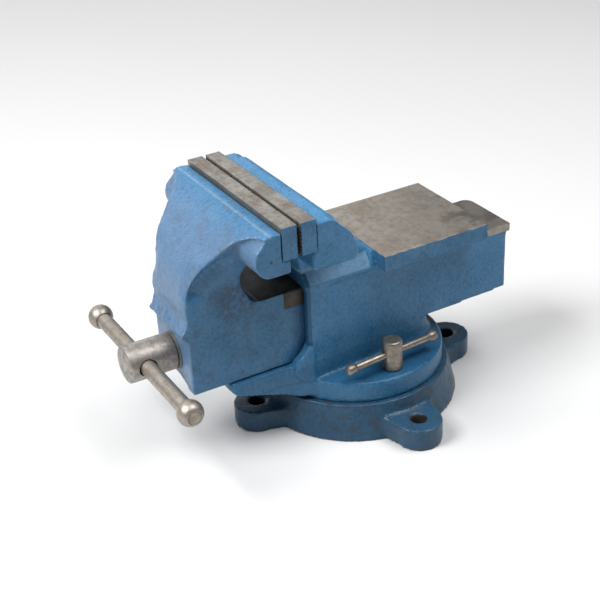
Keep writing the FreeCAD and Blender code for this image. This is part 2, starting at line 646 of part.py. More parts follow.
def lock_bolt(side):
    """Round-headed clamp bolt with a cross-hole for its bar."""
    y = side * SLOT_R
    low = DISC_TOP + SEAT_GAP
    head = Part.makeCylinder(LOCK_HEAD_R, LOCK_HEAD_TOP - low, V(0, y, low), AXIS_Z)
    rim = [edge for edge in head.Edges if edge.Length > 1 and abs(edge.BoundBox.ZMin - LOCK_HEAD_TOP) < 0.01]
    head = head.makeChamfer(1.0, rim)
    shank = disc(LOCK_SHANK_R, LOCK_END, low + 1, 0, y)
    along = bar_direction(side)
    start = V(0, y, LOCK_BAR_Z) - along * 12
    return head.fuse(shank).cut(Part.makeCylinder(LOCK_BAR_R + RUN, 24, start, along)).removeSplitter()


def lock_bar(side):
    """Sliding T-bar of a lock bolt."""
    along = bar_direction(side)
    half = LOCK_BAR_HALF + LOCK_KNOB_SEAT - 0.5
    return Part.makeCylinder(LOCK_BAR_R, 2 * half, V(0, side * SLOT_R, LOCK_BAR_Z) - along * half, along)


def lock_knob():
    """One small ball end, centred at the origin, bored from its -X side."""
    bore = LOCK_BAR_R + SCREW_FIT
    lip = (-math.sqrt(LOCK_KNOB_R ** 2 - bore ** 2), bore)
    tip = (LOCK_KNOB_R, 0)
    path = join([lip, ("arc", (0, LOCK_KNOB_R), tip), (LOCK_KNOB_SEAT, 0), (LOCK_KNOB_SEAT, bore)])
    return Part.Face(Part.Wire(outline(path, xz))).revolve(V(0, 0, 0), AXIS_X, 360)


def lock_knobs(side):
    """Two small ball ends on a lock bar."""
    along = bar_direction(side)
    middle = V(0, side * SLOT_R, LOCK_BAR_Z)
    solids = []
    for end in (-1, 1):
        ball = lock_knob()
        ball.rotate(V(0, 0, 0), AXIS_Z, math.degrees(math.atan2(end * along.y, end * along.x)))
        ball.translate(middle + along * (end * LOCK_BAR_HALF))
        solids.append(ball)
    return Part.makeCompound(solids)


def clamp_nuts():
    """Two T-slot nuts that the lock bolts screw into."""
    solids = []
    for side in (-1, 1):
        y = side * SLOT_R
        nut = block(-CLAMP_NUT_HALF_T, CLAMP_NUT_HALF_T, y - CLAMP_NUT_HALF_R, y + CLAMP_NUT_HALF_R,
                    CLAMP_NUT_BOTTOM, CLAMP_NUT_TOP)
        solids.append(nut.cut(disc(LOCK_SHANK_R + SCREW_FIT, 0, BASE_TOP, 0, y)))
    return Part.makeCompound(solids)


# ---- output ----
NODES = {
    "swivel_base": swivel_base(),
    "pivot_bolt": pivot_bolt(),
    "pivot_washer": pivot_washer(),
    "pivot_nut": pivot_nut(),
    "fixed_body": fixed_body(),
    "fixed_jaw_plate": toothed_plate(FIXED_FACE_X, 1),
    "fixed_plate_screws": plate_screws(FIXED_FACE_X, 1),
    "main_nut": main_nut(),
    "nut_bolts": nut_bolts(),
    "clamp_nuts": clamp_nuts(),
    "movable_jaw": movable_jaw(),
    "movable_jaw_plate": toothed_plate(MOVING_FACE_X, -1),
    "movable_plate_screws": plate_screws(MOVING_FACE_X, -1),
    "thrust_washer": thrust_washer(),
    "lead_screw": lead_screw(),
    "disc_spring": disc_spring(),
    "retaining_collar": retaining_collar(),
    "collar_pin": collar_pin(),
    "handle_bar": handle_bar(),
    "handle_knob_far": knob(HANDLE_FAR_Y, 1),
    "handle_knob_near": knob(HANDLE_NEAR_Y, -1),
    "near_lock_bolt": lock_bolt(-1),
    "near_lock_bar": lock_bar(-1),
    "near_lock_knobs": lock_knobs(-1),
    "far_lock_bolt": lock_bolt(1),
    "far_lock_bar": lock_bar(1),
    "far_lock_knobs": lock_knobs(1),
}

os.makedirs("parts", exist_ok=True)
for name, shape in NODES.items():
    shape.exportStep("parts/%s.step" % name)
    print(name, "valid" if shape.isValid() else "INVALID", len(shape.Solids), round(shape.Volume / 1000, 1))
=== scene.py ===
"""Swivel-base bench vise with anvil: the looks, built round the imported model."""
import logging
import math
from contextlib import contextmanager
from dataclasses import dataclass
from enum import Enum
from typing import Any, Callable, Iterator, Sequence

import bpy
from mathutils import Matrix, Vector


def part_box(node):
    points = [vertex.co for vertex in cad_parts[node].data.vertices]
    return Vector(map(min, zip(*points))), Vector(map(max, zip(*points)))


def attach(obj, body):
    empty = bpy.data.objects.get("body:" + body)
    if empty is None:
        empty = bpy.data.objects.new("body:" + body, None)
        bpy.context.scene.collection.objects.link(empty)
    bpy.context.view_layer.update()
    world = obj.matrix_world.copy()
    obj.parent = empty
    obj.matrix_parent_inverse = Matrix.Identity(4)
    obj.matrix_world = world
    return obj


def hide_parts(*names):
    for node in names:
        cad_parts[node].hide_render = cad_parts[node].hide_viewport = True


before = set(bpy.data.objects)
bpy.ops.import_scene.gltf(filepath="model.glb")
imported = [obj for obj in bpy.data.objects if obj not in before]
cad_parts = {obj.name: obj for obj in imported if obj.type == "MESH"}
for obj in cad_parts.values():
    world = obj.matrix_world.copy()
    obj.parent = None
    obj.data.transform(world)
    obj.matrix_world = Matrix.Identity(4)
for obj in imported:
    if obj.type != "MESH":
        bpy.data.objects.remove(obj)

MM = 0.001
SHEEN = 0.32
WELD = 1e-6
log = logging.getLogger("vise")


# ---------------------------------------------------------------- shader building


class Socket:
    """An output of a shader node that builds Math nodes when it is used in arithmetic."""

    def __init__(self, shader: "Shader", output: bpy.types.NodeSocket) -> None:
        """Keep the shader that the output belongs to.

        Args:
            shader: the material being built.
            output: the node output.
        """
        self.shader = shader
        self.output = output

    def __add__(self, other: "Socket | float") -> "Socket":
        """Sum."""
        return self.shader.math("ADD", self, other)

    def __radd__(self, other: float) -> "Socket":
        """Sum with a number on the left."""
        return self.shader.math("ADD", other, self)

    def __sub__(self, other: "Socket | float") -> "Socket":
        """Difference."""
        return self.shader.math("SUBTRACT", self, other)

    def __rsub__(self, other: float) -> "Socket":
        """Difference from a number."""
        return self.shader.math("SUBTRACT", other, self)

    def __mul__(self, other: "Socket | float") -> "Socket":
        """Product."""
        return self.shader.math("MULTIPLY", self, other)

    def __rmul__(self, other: float) -> "Socket":
        """Product with a number on the left."""
        return self.shader.math("MULTIPLY", other, self)

    def __gt__(self, other: "Socket | float") -> "Socket":
        """1 where this is greater, else 0."""
        return self.shader.math("GREATER_THAN", self, other)

    def __lt__(self, other: "Socket | float") -> "Socket":
        """1 where this is less, else 0."""
        return self.shader.math("LESS_THAN", self, other)

    def either(self, other: "Socket | float") -> "Socket":
        """The larger of the two, so masks are joined."""
        return self.shader.math("MAXIMUM", self, other)

    def size(self) -> "Socket":
        """Absolute value."""
        return self.shader.math("ABSOLUTE", self)

    def ramp(self, low: float, high: float, bottom: float = 0.0, top: float = 1.0) -> "Socket":
        """Map the range low..high onto bottom..top, held at both ends.

        Args:
            low: value that becomes bottom.
            high: value that becomes top.
            bottom: result at low.
            top: result at high.

        Returns:
            The mapped value.
        """
        inputs = {0: self, 1: low, 2: high, 3: bottom, 4: top}
        return self.shader.node("MapRange", {"clamp": True, "interpolation_type": "SMOOTHSTEP"}, inputs)


class Shader:
    """One material's node tree, with a single way to make nodes."""

    def __init__(self, name: str) -> None:
        """Start a material with an empty tree.

        Args:
            name: the material's name.
        """
        self.material = bpy.data.materials.new(name)
        self.material.use_nodes = True
        self.tree = self.material.node_tree
        self.tree.nodes.clear()

    def node(self, kind: str, settings: dict[str, Any] | None = None,
             inputs: dict[Any, Any] | None = None, output: Any = 0) -> Socket:
        """Make a node, set it up and fill its sockets.

        Args:
            kind: the node's type without its ShaderNode prefix.
            settings: the node's own properties, or stops for a colour ramp.
            inputs: a number, colour or Socket for each named or numbered input.
            output: which output to return.

        Returns:
            The chosen output.
        """
        made = self.tree.nodes.new("ShaderNode" + kind)
        for name, value in (settings or {}).items():
            if name == "stops":
                ramp = made.color_ramp.elements
                while len(ramp) < len(value):
                    ramp.new(0.5)
                for element, (place, colour) in zip(ramp, value):
                    element.position = place
                    element.color = (*colour, 1.0)
            else:
                setattr(made, name, value)
        for name, value in (inputs or {}).items():
            if isinstance(value, Socket):
                self.tree.links.new(value.output, made.inputs[name])
            else:
                made.inputs[name].default_value = value
        return Socket(self, made.outputs[output] if made.outputs else None)

    def math(self, operation: str, *values: "Socket | float") -> Socket:
        """One Math node on values or sockets."""
        return self.node("Math", {"operation": operation}, dict(enumerate(values)))

    def mix(self, share: Socket, first: Any, second: Any) -> Socket:
        """Blend two colours by a share, where 1 gives the second.

        Args:
            share: the mask.
            first: colour or socket where the mask is 0.
            second: colour or socket where the mask is 1.

        Returns:
            The blended colour.
        """
        inputs = {0: share, 6: solid(first), 7: solid(second)}
        return self.node("Mix", {"data_type": "RGBA"}, inputs, 2)

    def place(self) -> Socket:
        """Object coordinates, in metres."""
        return self.node("TexCoord", output="Object")

    def axes(self) -> tuple[Socket, Socket, Socket]:
        """The three object coordinates one by one.

        Returns:
            Sockets for X, Y and Z.
        """
        split = self.node("SeparateXYZ", inputs={0: self.place()})
        outputs = split.output.node.outputs
        return tuple(Socket(self, outputs[index]) for index in range(3))

    def facing(self) -> Socket:
        """How far the surface faces +X, from -1 to 1."""
        return self.node("SeparateXYZ", inputs={0: self.node("NewGeometry", output="Normal")})

    def stretched(self, scale: Sequence[float]) -> Socket:
        """Object coordinates scaled differently on each axis."""
        return self.node("Mapping", inputs={"Vector": self.place(), "Scale": scale})

    def noise(self, scale: float, detail: float = 3.0, rough: float = 0.5,
              at: Socket | None = None) -> Socket:
        """Noise between 0 and 1.

        Args:
            scale: features per metre.
            detail: number of finer layers.
            rough: strength of the finer layers.
            at: coordinates, or None for object coordinates.

        Returns:
            The noise value.
        """
        inputs = {"Vector": at or self.place(), "Scale": scale, "Detail": detail, "Roughness": rough}
        return self.node("TexNoise", inputs=inputs)

    def cells(self, scale: float, smooth: float = 0.6) -> Socket:
        """Distance to the middle of the nearest cell, for hammered or pitted surfaces."""
        inputs = {"Vector": self.place(), "Scale": scale, "Smoothness": smooth}
        return self.node("TexVoronoi", {"feature": "SMOOTH_F1"}, inputs)

    def edges(self, low: float, high: float) -> Socket:
        """Mask of convex edges, from the mesh's own curvature."""
        return self.node("NewGeometry", output="Pointiness").ramp(low, high)

    def bump(self, height: Socket, depth: float, strength: float = 1.0) -> Socket:
        """Turn a height pattern into a normal.

        Args:
            height: the pattern, 0 to 1.
            depth: height of 1, in metres.
            strength: share of the effect.

        Returns:
            The normal.
        """
        inputs = {"Height": height, "Distance": depth, "Strength": strength}
        return self.node("Bump", inputs=inputs, output="Normal")

    def close(self, base: Any, rough: Any, metal: Any, normal: Socket | None) -> bpy.types.Material:
        """End the tree in a Principled shader.

        Args:
            base: colour or socket.
            rough: roughness number or socket.
            metal: metallic number or socket.
            normal: bumped normal, or None.

        Returns:
            The finished material.
        """
        inputs = {"Base Color": solid(base), "Roughness": rough, "Metallic": metal,
                  "Specular IOR Level": SHEEN}
        if normal is not None:
            inputs["Normal"] = normal
        surface = self.node("BsdfPrincipled", inputs=inputs)
        self.node("OutputMaterial", inputs={"Surface": surface})
        return self.material


def solid(colour: Any) -> Any:
    """Give a three-number colour its alpha, and leave a socket as it is."""
    return colour if isinstance(colour, Socket) else (*colour, 1.0)


# ---------------------------------------------------------------- finishes


@dataclass(frozen=True)
class Metal:
    """Bare steel or iron with stains, pits and tool marks."""

    name: str
    clean: tuple[float, float, float]
    stain: tuple[float, float, float]
    dark: tuple[float, float, float] = (0.035, 0.03, 0.027)
    shade: tuple[float, float, float] = (0.15, 0.14, 0.13)
    rough: float = 0.38
    stain_share: float = 0.5
    cloud_share: float = 0.35
    pit_share: float = 0.6
    streak: tuple[float, float, float] = (60.0, 900.0, 900.0)
    metallic: float = 0.85

    def surface(self, shader: Shader) -> tuple[Socket, Socket, Socket]:
        """Build the bare metal's colour, roughness and height.

        Args:
            shader: the material being built.

        Returns:
            Colour, roughness and height sockets.
        """
        broad = shader.noise(48.0, 5.0, 0.6)
        fine = shader.noise(520.0, 5.0, 0.7)
        lines = shader.noise(1.0, 3.0, 0.6, shader.stretched(self.streak))
        blotch = (broad + 0.45 * fine - 0.3).ramp(0.28, 0.60) * self.stain_share
        cloud = shader.noise(190.0, 5.0, 0.68).ramp(0.44, 0.62) * self.cloud_share
        pits = shader.noise(780.0, 3.0, 0.7).ramp(0.60, 0.68) * shader.noise(75.0).ramp(0.42, 0.66)
        toned = shader.mix(blotch, self.clean, self.stain)
        toned = shader.mix(cloud, toned, self.shade)
        toned = shader.mix(lines.ramp(0.35, 0.75) * 0.35, toned, tuple(1.3 * part for part in self.clean))
        colour = shader.mix(pits * self.pit_share, toned, self.dark)
        rough = self.rough + 0.20 * blotch + 0.14 * (fine - 0.5) + 0.2 * pits + 0.1 * cloud
        height = 0.5 * lines + 0.5 * fine - 0.8 * pits
        return colour, rough, height

    def build(self) -> bpy.types.Material:
        """Make the material.

        Returns:
            The bare metal.
        """
        shader = Shader(self.name)
        colour, rough, height = self.surface(shader)
        return shader.close(colour, rough, self.metallic, shader.bump(height, 0.00006, 0.8))


class Machined(Enum):
    """Which faces of a painted piece are left as bare metal."""

    NONE = "none"
    BODY = "channel"
    JAW = "slide"
    ANVIL = "top and step"
    PLATE = "all but the ends"


@dataclass(frozen=True)
class Span:
    """Range along one axis, in metres."""

    low: float
    high: float

    def mask(self, value: Socket) -> Socket:
        """1 where the value lies in the range."""
        return (value > self.low) * (value < self.high)


@dataclass(frozen=True)
class Places:
    """Where the finishes change on the vise, in metres."""

    channel_x: Span = Span(-0.0632, 0.0970)
    channel_z: Span = Span(0.0626, 0.1285)
    channel_half: float = 0.0306
    mouth_x: float = -0.0612
    mouth_z: Span = Span(0.0790, 0.1400)
    shoulder_x: Span = Span(-0.0650, -0.0060)
    shoulder_z: Span = Span(0.1310, 0.1425)
    shoulder_half: float = 0.0388
    disc_skin: Span = Span(0.0462, 0.0480)
    disc_edge: Span = Span(0.0610, 0.0640)
    slide_front: float = -0.1010
    slide_skin: Span = Span(0.1269, 0.1285)
    guide_front: float = -0.0800
    guide_low: float = 0.1130
    seat_front: float = -0.1026
    seat_z: Span = Span(0.1806, 0.2030)
    apron_rear: float = -0.0340
    soil: tuple[float, float] = (-0.1180, 0.1360)
    soil_top: float = 0.1650
    spot: tuple[float, float] = (-0.1121, 0.1834)
    spot_r: float = 0.0013
    jaw_end: float = 0.0735
    crease_x: float = -0.1122
    crease_low: float = 0.2015
    # Where the apron's painted shade begins and where it is fullest.
    apron_rear_shade_x: Span = Span(-0.0790, -0.0655)
    lug_circle: float = 0.0945
    bore_r: float = 0.0070
    plate_end: float = 0.0744
    teeth_x: Span = Span(-0.0906, -0.0864)
    teeth_top: float = 0.2062
    anvil_skin: float = 0.1424
    anvil_rim: Span = Span(0.1416, 0.1426)
    step_front: float = 0.0992


AT = Places()


def squared_reach(first: Socket, second: Socket, centre: tuple[float, float]) -> Socket:
    """Square of the distance from a centre, measured in two axes.

    Args:
        first: coordinate along the first axis.
        second: coordinate along the second axis.
        centre: the centre's two coordinates.

    Returns:
        The squared distance, in square metres.
    """
    along, across = first - centre[0], second - centre[1]
    return along * along + across * across


@dataclass(frozen=True)
class Enamel:
    """Thick hammered enamel over rough iron, chipped at its edges, with machined faces left bare, and some
    painted shade and painted highlights.
    """

    name: str
    bare: Metal
    machined: Machined = Machined.NONE
    paint: tuple[float, float, float] = (0.027, 0.126, 0.252)
    pale: tuple[float, float, float] = (0.066, 0.187, 0.335)
    deep: tuple[float, float, float] = (0.008, 0.060, 0.140)
    # Pale colour of chipped edges, also used as a painted highlight on the moving jaw's crease.
    wear_and_highlight: tuple[float, float, float] = (0.24, 0.33, 0.42)
    grime: tuple[float, float, float] = (0.036, 0.052, 0.064)
    # Pale grey for painted sheen on faces that turn towards -X.
    front_sheen: tuple[float, float, float] = (0.20, 0.20, 0.26)
    # Light blue for the painted highlight on the fixed body's shoulder.
    shoulder_highlight: tuple[float, float, float] = (0.17, 0.31, 0.47)
    grime_share: float = 0.35
    chip_share: float = 0.6
    rough: float = 0.31
    grain: float = 0.00048
    shade_lug_bores: bool = False

    def bare_mask(self, shader: Shader) -> Socket:
        """Mask of the machined faces.

        Args:
            shader: the material being built.

        Returns:
            1 on bare metal.
        """
        x, y, z = shader.axes()
        ragged = (shader.noise(260.0, 4.0) - 0.5) * 0.0012
        if self.machined is Machined.BODY:
            return AT.channel_x.mask(x) * AT.channel_z.mask(z) * (y.size() < AT.channel_half)
        if self.machined is Machined.ANVIL:
            return ((z + ragged) > AT.anvil_skin).either(x > AT.step_front)
        if self.machined is Machined.JAW:
            below = z < AT.slide_skin.high
            top = ((z + 0.3 * ragged) > AT.slide_skin.low) * (x > AT.slide_front) * below
            side = ((x + ragged) > AT.guide_front) * ((z + 1.5 * ragged) > AT.guide_low) * below
            seat = (x > AT.seat_front) * AT.seat_z.mask(z)
            return top.either(side).either(seat).either(x > AT.apron_rear)
        return (y.size() + ragged * 0.5) < AT.plate_end

    def jaw_marks_and_shading(self, shader: Shader, colour: Socket) -> Socket:
        """Marks of the moving jaw: soil and a drill spot, with a painted highlight on the crease, painted
        sheen on faces that turn to -X and painted shade along the apron's rear edge.

        Args:
            shader: the material being built.
            colour: the paint so far.

        Returns:
            The marked paint.
        """
        x, y, z = shader.axes()
        near = (squared_reach(x, z, AT.soil) * 1500.0).ramp(0.1, 1.0, 1.0, 0.0)
        soil = near * shader.noise(230.0, 6.0, 0.75).ramp(0.42, 0.60)
        colour = shader.mix(soil * (z < AT.soil_top) * 0.75, colour, self.grime)
        spot = (squared_reach(x, z, AT.spot) < AT.spot_r ** 2) * (y.size() > AT.jaw_end)
        colour = shader.mix(spot * 0.85, colour, self.bare.dark)
        # Painted highlight: a thin, uneven pale line along the crest crease, where light catches the edge.
        crease_highlight = (x - AT.crease_x).size().ramp(0.0004, 0.0014, 1.0, 0.0) * (z > AT.crease_low)
        uneven = shader.noise(240.0, 4.0, 0.7).ramp(0.3, 0.6, 0.05, 0.35)
        colour = shader.mix(crease_highlight * uneven, colour, self.wear_and_highlight)
        # Painted sheen: faces turned towards -X are paled by their normal, where the key light's sheen falls.
        front = (0.0 - shader.facing()).ramp(0.25, 0.80)
        colour = shader.mix(front * 0.27, colour, self.front_sheen)
        # Painted shade: the apron darkens towards its rear edge below the guides, where the fixed body shades
        # it.
        apron_rear_shade = x.ramp(AT.apron_rear_shade_x.low, AT.apron_rear_shade_x.high) * (z < AT.guide_low)
        return shader.mix(apron_rear_shade * 0.6, colour, self.deep)

    def body_painted_light(self, shader: Shader, colour: Socket) -> Socket:
        """Painted light on the fixed body: a painted highlight on the shoulder, and painted shade in the
        mouth, on the disc top and low down.

        Args:
            shader: the material being built.
            colour: the paint so far.

        Returns:
            The marked paint.
        """
        x, y, z = shader.axes()
        # Painted highlight: the sloping shoulder under the fixed jaw is paled in uneven patches, where the
        # glossy paint catches the light.
        shoulder = AT.shoulder_z.mask(z) * AT.shoulder_x.mask(x) * (y.size() < AT.shoulder_half)
        uneven = shader.noise(300.0, 5.0, 0.7).ramp(0.25, 0.60, 0.35, 0.85)
        colour = shader.mix(shoulder * uneven, colour, self.shoulder_highlight)
        # Painted shade: the mouth's front faces beside the apron, the disc top and the lowest part of the
        # body are darkened towards the deep blue, where the jaw and the box above shade them.
        mouth = (x < AT.mouth_x) * AT.mouth_z.mask(z)
        low = z.ramp(AT.disc_edge.low, AT.disc_edge.high, 0.40, 0.0)
        return shader.mix((mouth * 0.90).either(AT.disc_skin.mask(z) * 0.65).either(low), colour, self.deep)

    def bore_shade(self, shader: Shader, colour: Socket) -> Socket:
        """Bare bores of the base's four lugs, painted near-black as painted shade in the deep holes.

        Args:
            shader: the material being built.
            colour: the paint so far.

        Returns:
            The paint with dark bores.
        """
        x, y, _ = shader.axes()
        centre = (AT.lug_circle, 0.0)
        shaded_bores = [squared_reach(along.size(), across, centre) < AT.bore_r ** 2
                 for along, across in ((x, y), (y, x))]
        return shader.mix(shaded_bores[0].either(shaded_bores[1]) * 0.93, colour, self.bare.dark)

    def teeth_gap_shade(self, shader: Shader, colour: Socket) -> Socket:
        """Painted shade on the toothed faces of the jaw plates, where the narrow gap between them lies in
        shadow.

        Args:
            shader: the material being built.
            colour: paint or metal.

        Returns:
            The oiled colour.
        """
        x, _, z = shader.axes()
        return shader.mix(AT.teeth_x.mask(x) * (z < AT.teeth_top) * 0.60, colour, self.bare.dark)

    def anvil_marks(self, shader: Shader, metal: Socket) -> Socket:
        """Stains of the anvil's ground faces.

        Args:
            shader: the material being built.
            metal: the bare metal.

        Returns:
            The stained metal.
        """
        x, y, _ = shader.axes()
        soiled = shader.noise(38.0, 6.0, 0.72).ramp(0.47, 0.60)
        corner = (x - 0.6 * y).ramp(0.035, 0.12) * 0.85
        metal = shader.mix(soiled * corner, metal, self.bare.shade)
        return shader.mix((x > AT.step_front) * 0.45, metal, self.bare.shade)

    def build(self) -> bpy.types.Material:
        """Make the material.

        Returns:
            The enamel, with its bare faces where it has any.
        """
        shader = Shader(self.name)
        mottle = shader.noise(330.0, 4.0, 0.6)
        dust = shader.noise(75.0, 6.0, 0.72).ramp(0.48, 0.66) * self.grime_share
        pinholes = shader.noise(760.0, 3.0, 0.7).ramp(0.71, 0.76) * shader.noise(60.0).ramp(0.42, 0.66)
        chip = shader.edges(0.53, 0.60) * shader.noise(210.0, 4.0, 0.7).ramp(0.36, 0.60) * self.chip_share
        colour = shader.mix(shader.noise(28.0, 4.0, 0.55).ramp(0.35, 0.7) * 0.55, self.paint, self.pale)
        colour = shader.mix(mottle.ramp(0.42, 0.70) * 0.40, colour, self.pale)
        colour = shader.mix((1.0 - mottle).ramp(0.50, 0.72) * 0.42, colour, self.deep)
        colour = shader.mix(dust, colour, self.grime)
        if self.machined is Machined.JAW:
            colour = self.jaw_marks_and_shading(shader, colour)
        if self.machined is Machined.BODY:
            colour = self.body_painted_light(shader, colour)
        colour = shader.mix(pinholes * 0.75, colour, self.grime)
        # Painted shade inside the lugs' bores.
        if self.shade_lug_bores:
            colour = self.bore_shade(shader, colour)
        colour = shader.mix(chip, colour, self.wear_and_highlight)
        rough = self.rough + 0.14 * (mottle - 0.5) + 0.25 * dust + 0.15 * chip
        height = 0.9 * shader.cells(560.0, 0.8) + 0.4 * mottle - 0.5 * pinholes
        if self.machined is Machined.NONE:
            return shader.close(colour, rough, 0.0, shader.bump(height, self.grain, 0.75))
        mask = self.bare_mask(shader)
        metal_colour, metal_rough, metal_height = self.bare.surface(shader)
        if self.machined is Machined.PLATE:
            # Painted shade in the gap between the jaw plates.
            metal_colour = self.teeth_gap_shade(shader, metal_colour)
            colour = self.teeth_gap_shade(shader, colour)
        if self.machined is Machined.ANVIL:
            metal_colour = self.anvil_marks(shader, metal_colour)
            rim = AT.anvil_rim.mask(shader.axes()[2]) * shader.noise(160.0, 4.0).ramp(0.42, 0.55)
            colour = shader.mix(rim * 0.8, colour, self.wear_and_highlight)
        colour = shader.mix(mask, colour, metal_colour)
        rough = rough + mask * (metal_rough - rough)
        height = height + mask * (0.18 * metal_height - height)
        return shader.close(colour, rough, mask * self.bare.metallic, shader.bump(height, self.grain, 0.75))


@dataclass(frozen=True)
class Finishes:
    """Every finish of the vise."""

    ground: Metal = Metal("ground_steel", (0.42, 0.385, 0.345), (0.23, 0.175, 0.125), stain_share=0.6,
                          streak=(900.0, 40.0, 900.0), rough=0.34)
    # Near-black iron for the slide's machined faces: dark greased metal, darkened further as painted shade
    # under the jaw's head.
    slide: Metal = Metal("slide_iron", (0.075, 0.068, 0.062), (0.05, 0.036, 0.026), stain_share=0.8,
                         rough=0.5)
    plate: Metal = Metal("plate_steel", (0.33, 0.32, 0.295), (0.18, 0.13, 0.09), stain_share=0.75,
                         cloud_share=0.5, streak=(900.0, 40.0, 900.0), rough=0.36)
    turned: Metal = Metal("turned_steel", (0.36, 0.335, 0.315), (0.21, 0.175, 0.15), rough=0.42,
                          cloud_share=0.6, streak=(1200.0, 60.0, 60.0))
    handle: Metal = Metal("handle_steel", (0.36, 0.325, 0.285), (0.22, 0.175, 0.135), rough=0.42,
                          cloud_share=0.55, streak=(900.0, 50.0, 900.0))
    lock: Metal = Metal("lock_steel", (0.31, 0.275, 0.235), (0.15, 0.11, 0.08), rough=0.36,
                        cloud_share=0.5, streak=(50.0, 900.0, 900.0))
    black: Metal = Metal("black_oxide", (0.060, 0.060, 0.064), (0.10, 0.07, 0.05), rough=0.42,
                         stain_share=0.3)
    iron: Metal = Metal("cast_iron", (0.17, 0.165, 0.16), (0.12, 0.08, 0.055), rough=0.55, metallic=0.6)
    jaw: Enamel = Enamel("movable_jaw_enamel", slide, Machined.JAW)
    body: Enamel = Enamel("fixed_body_enamel", ground, Machined.BODY, paint=(0.027, 0.143, 0.290),
                          pale=(0.072, 0.210, 0.375), deep=(0.008, 0.070, 0.150), grime_share=0.18,
                          chip_share=0.5)
    # The base's enamel is a much darker copy of the body's blue: painted shade for the base low under the
    # body.
    base: Enamel = Enamel("swivel_base_enamel", ground, paint=(0.017, 0.060, 0.115),
                          pale=(0.032, 0.088, 0.150), deep=(0.007, 0.030, 0.062),
                          grime=(0.034, 0.038, 0.042), grime_share=0.6, chip_share=0.25, shade_lug_bores=True)


# ---------------------------------------------------------------- modelling


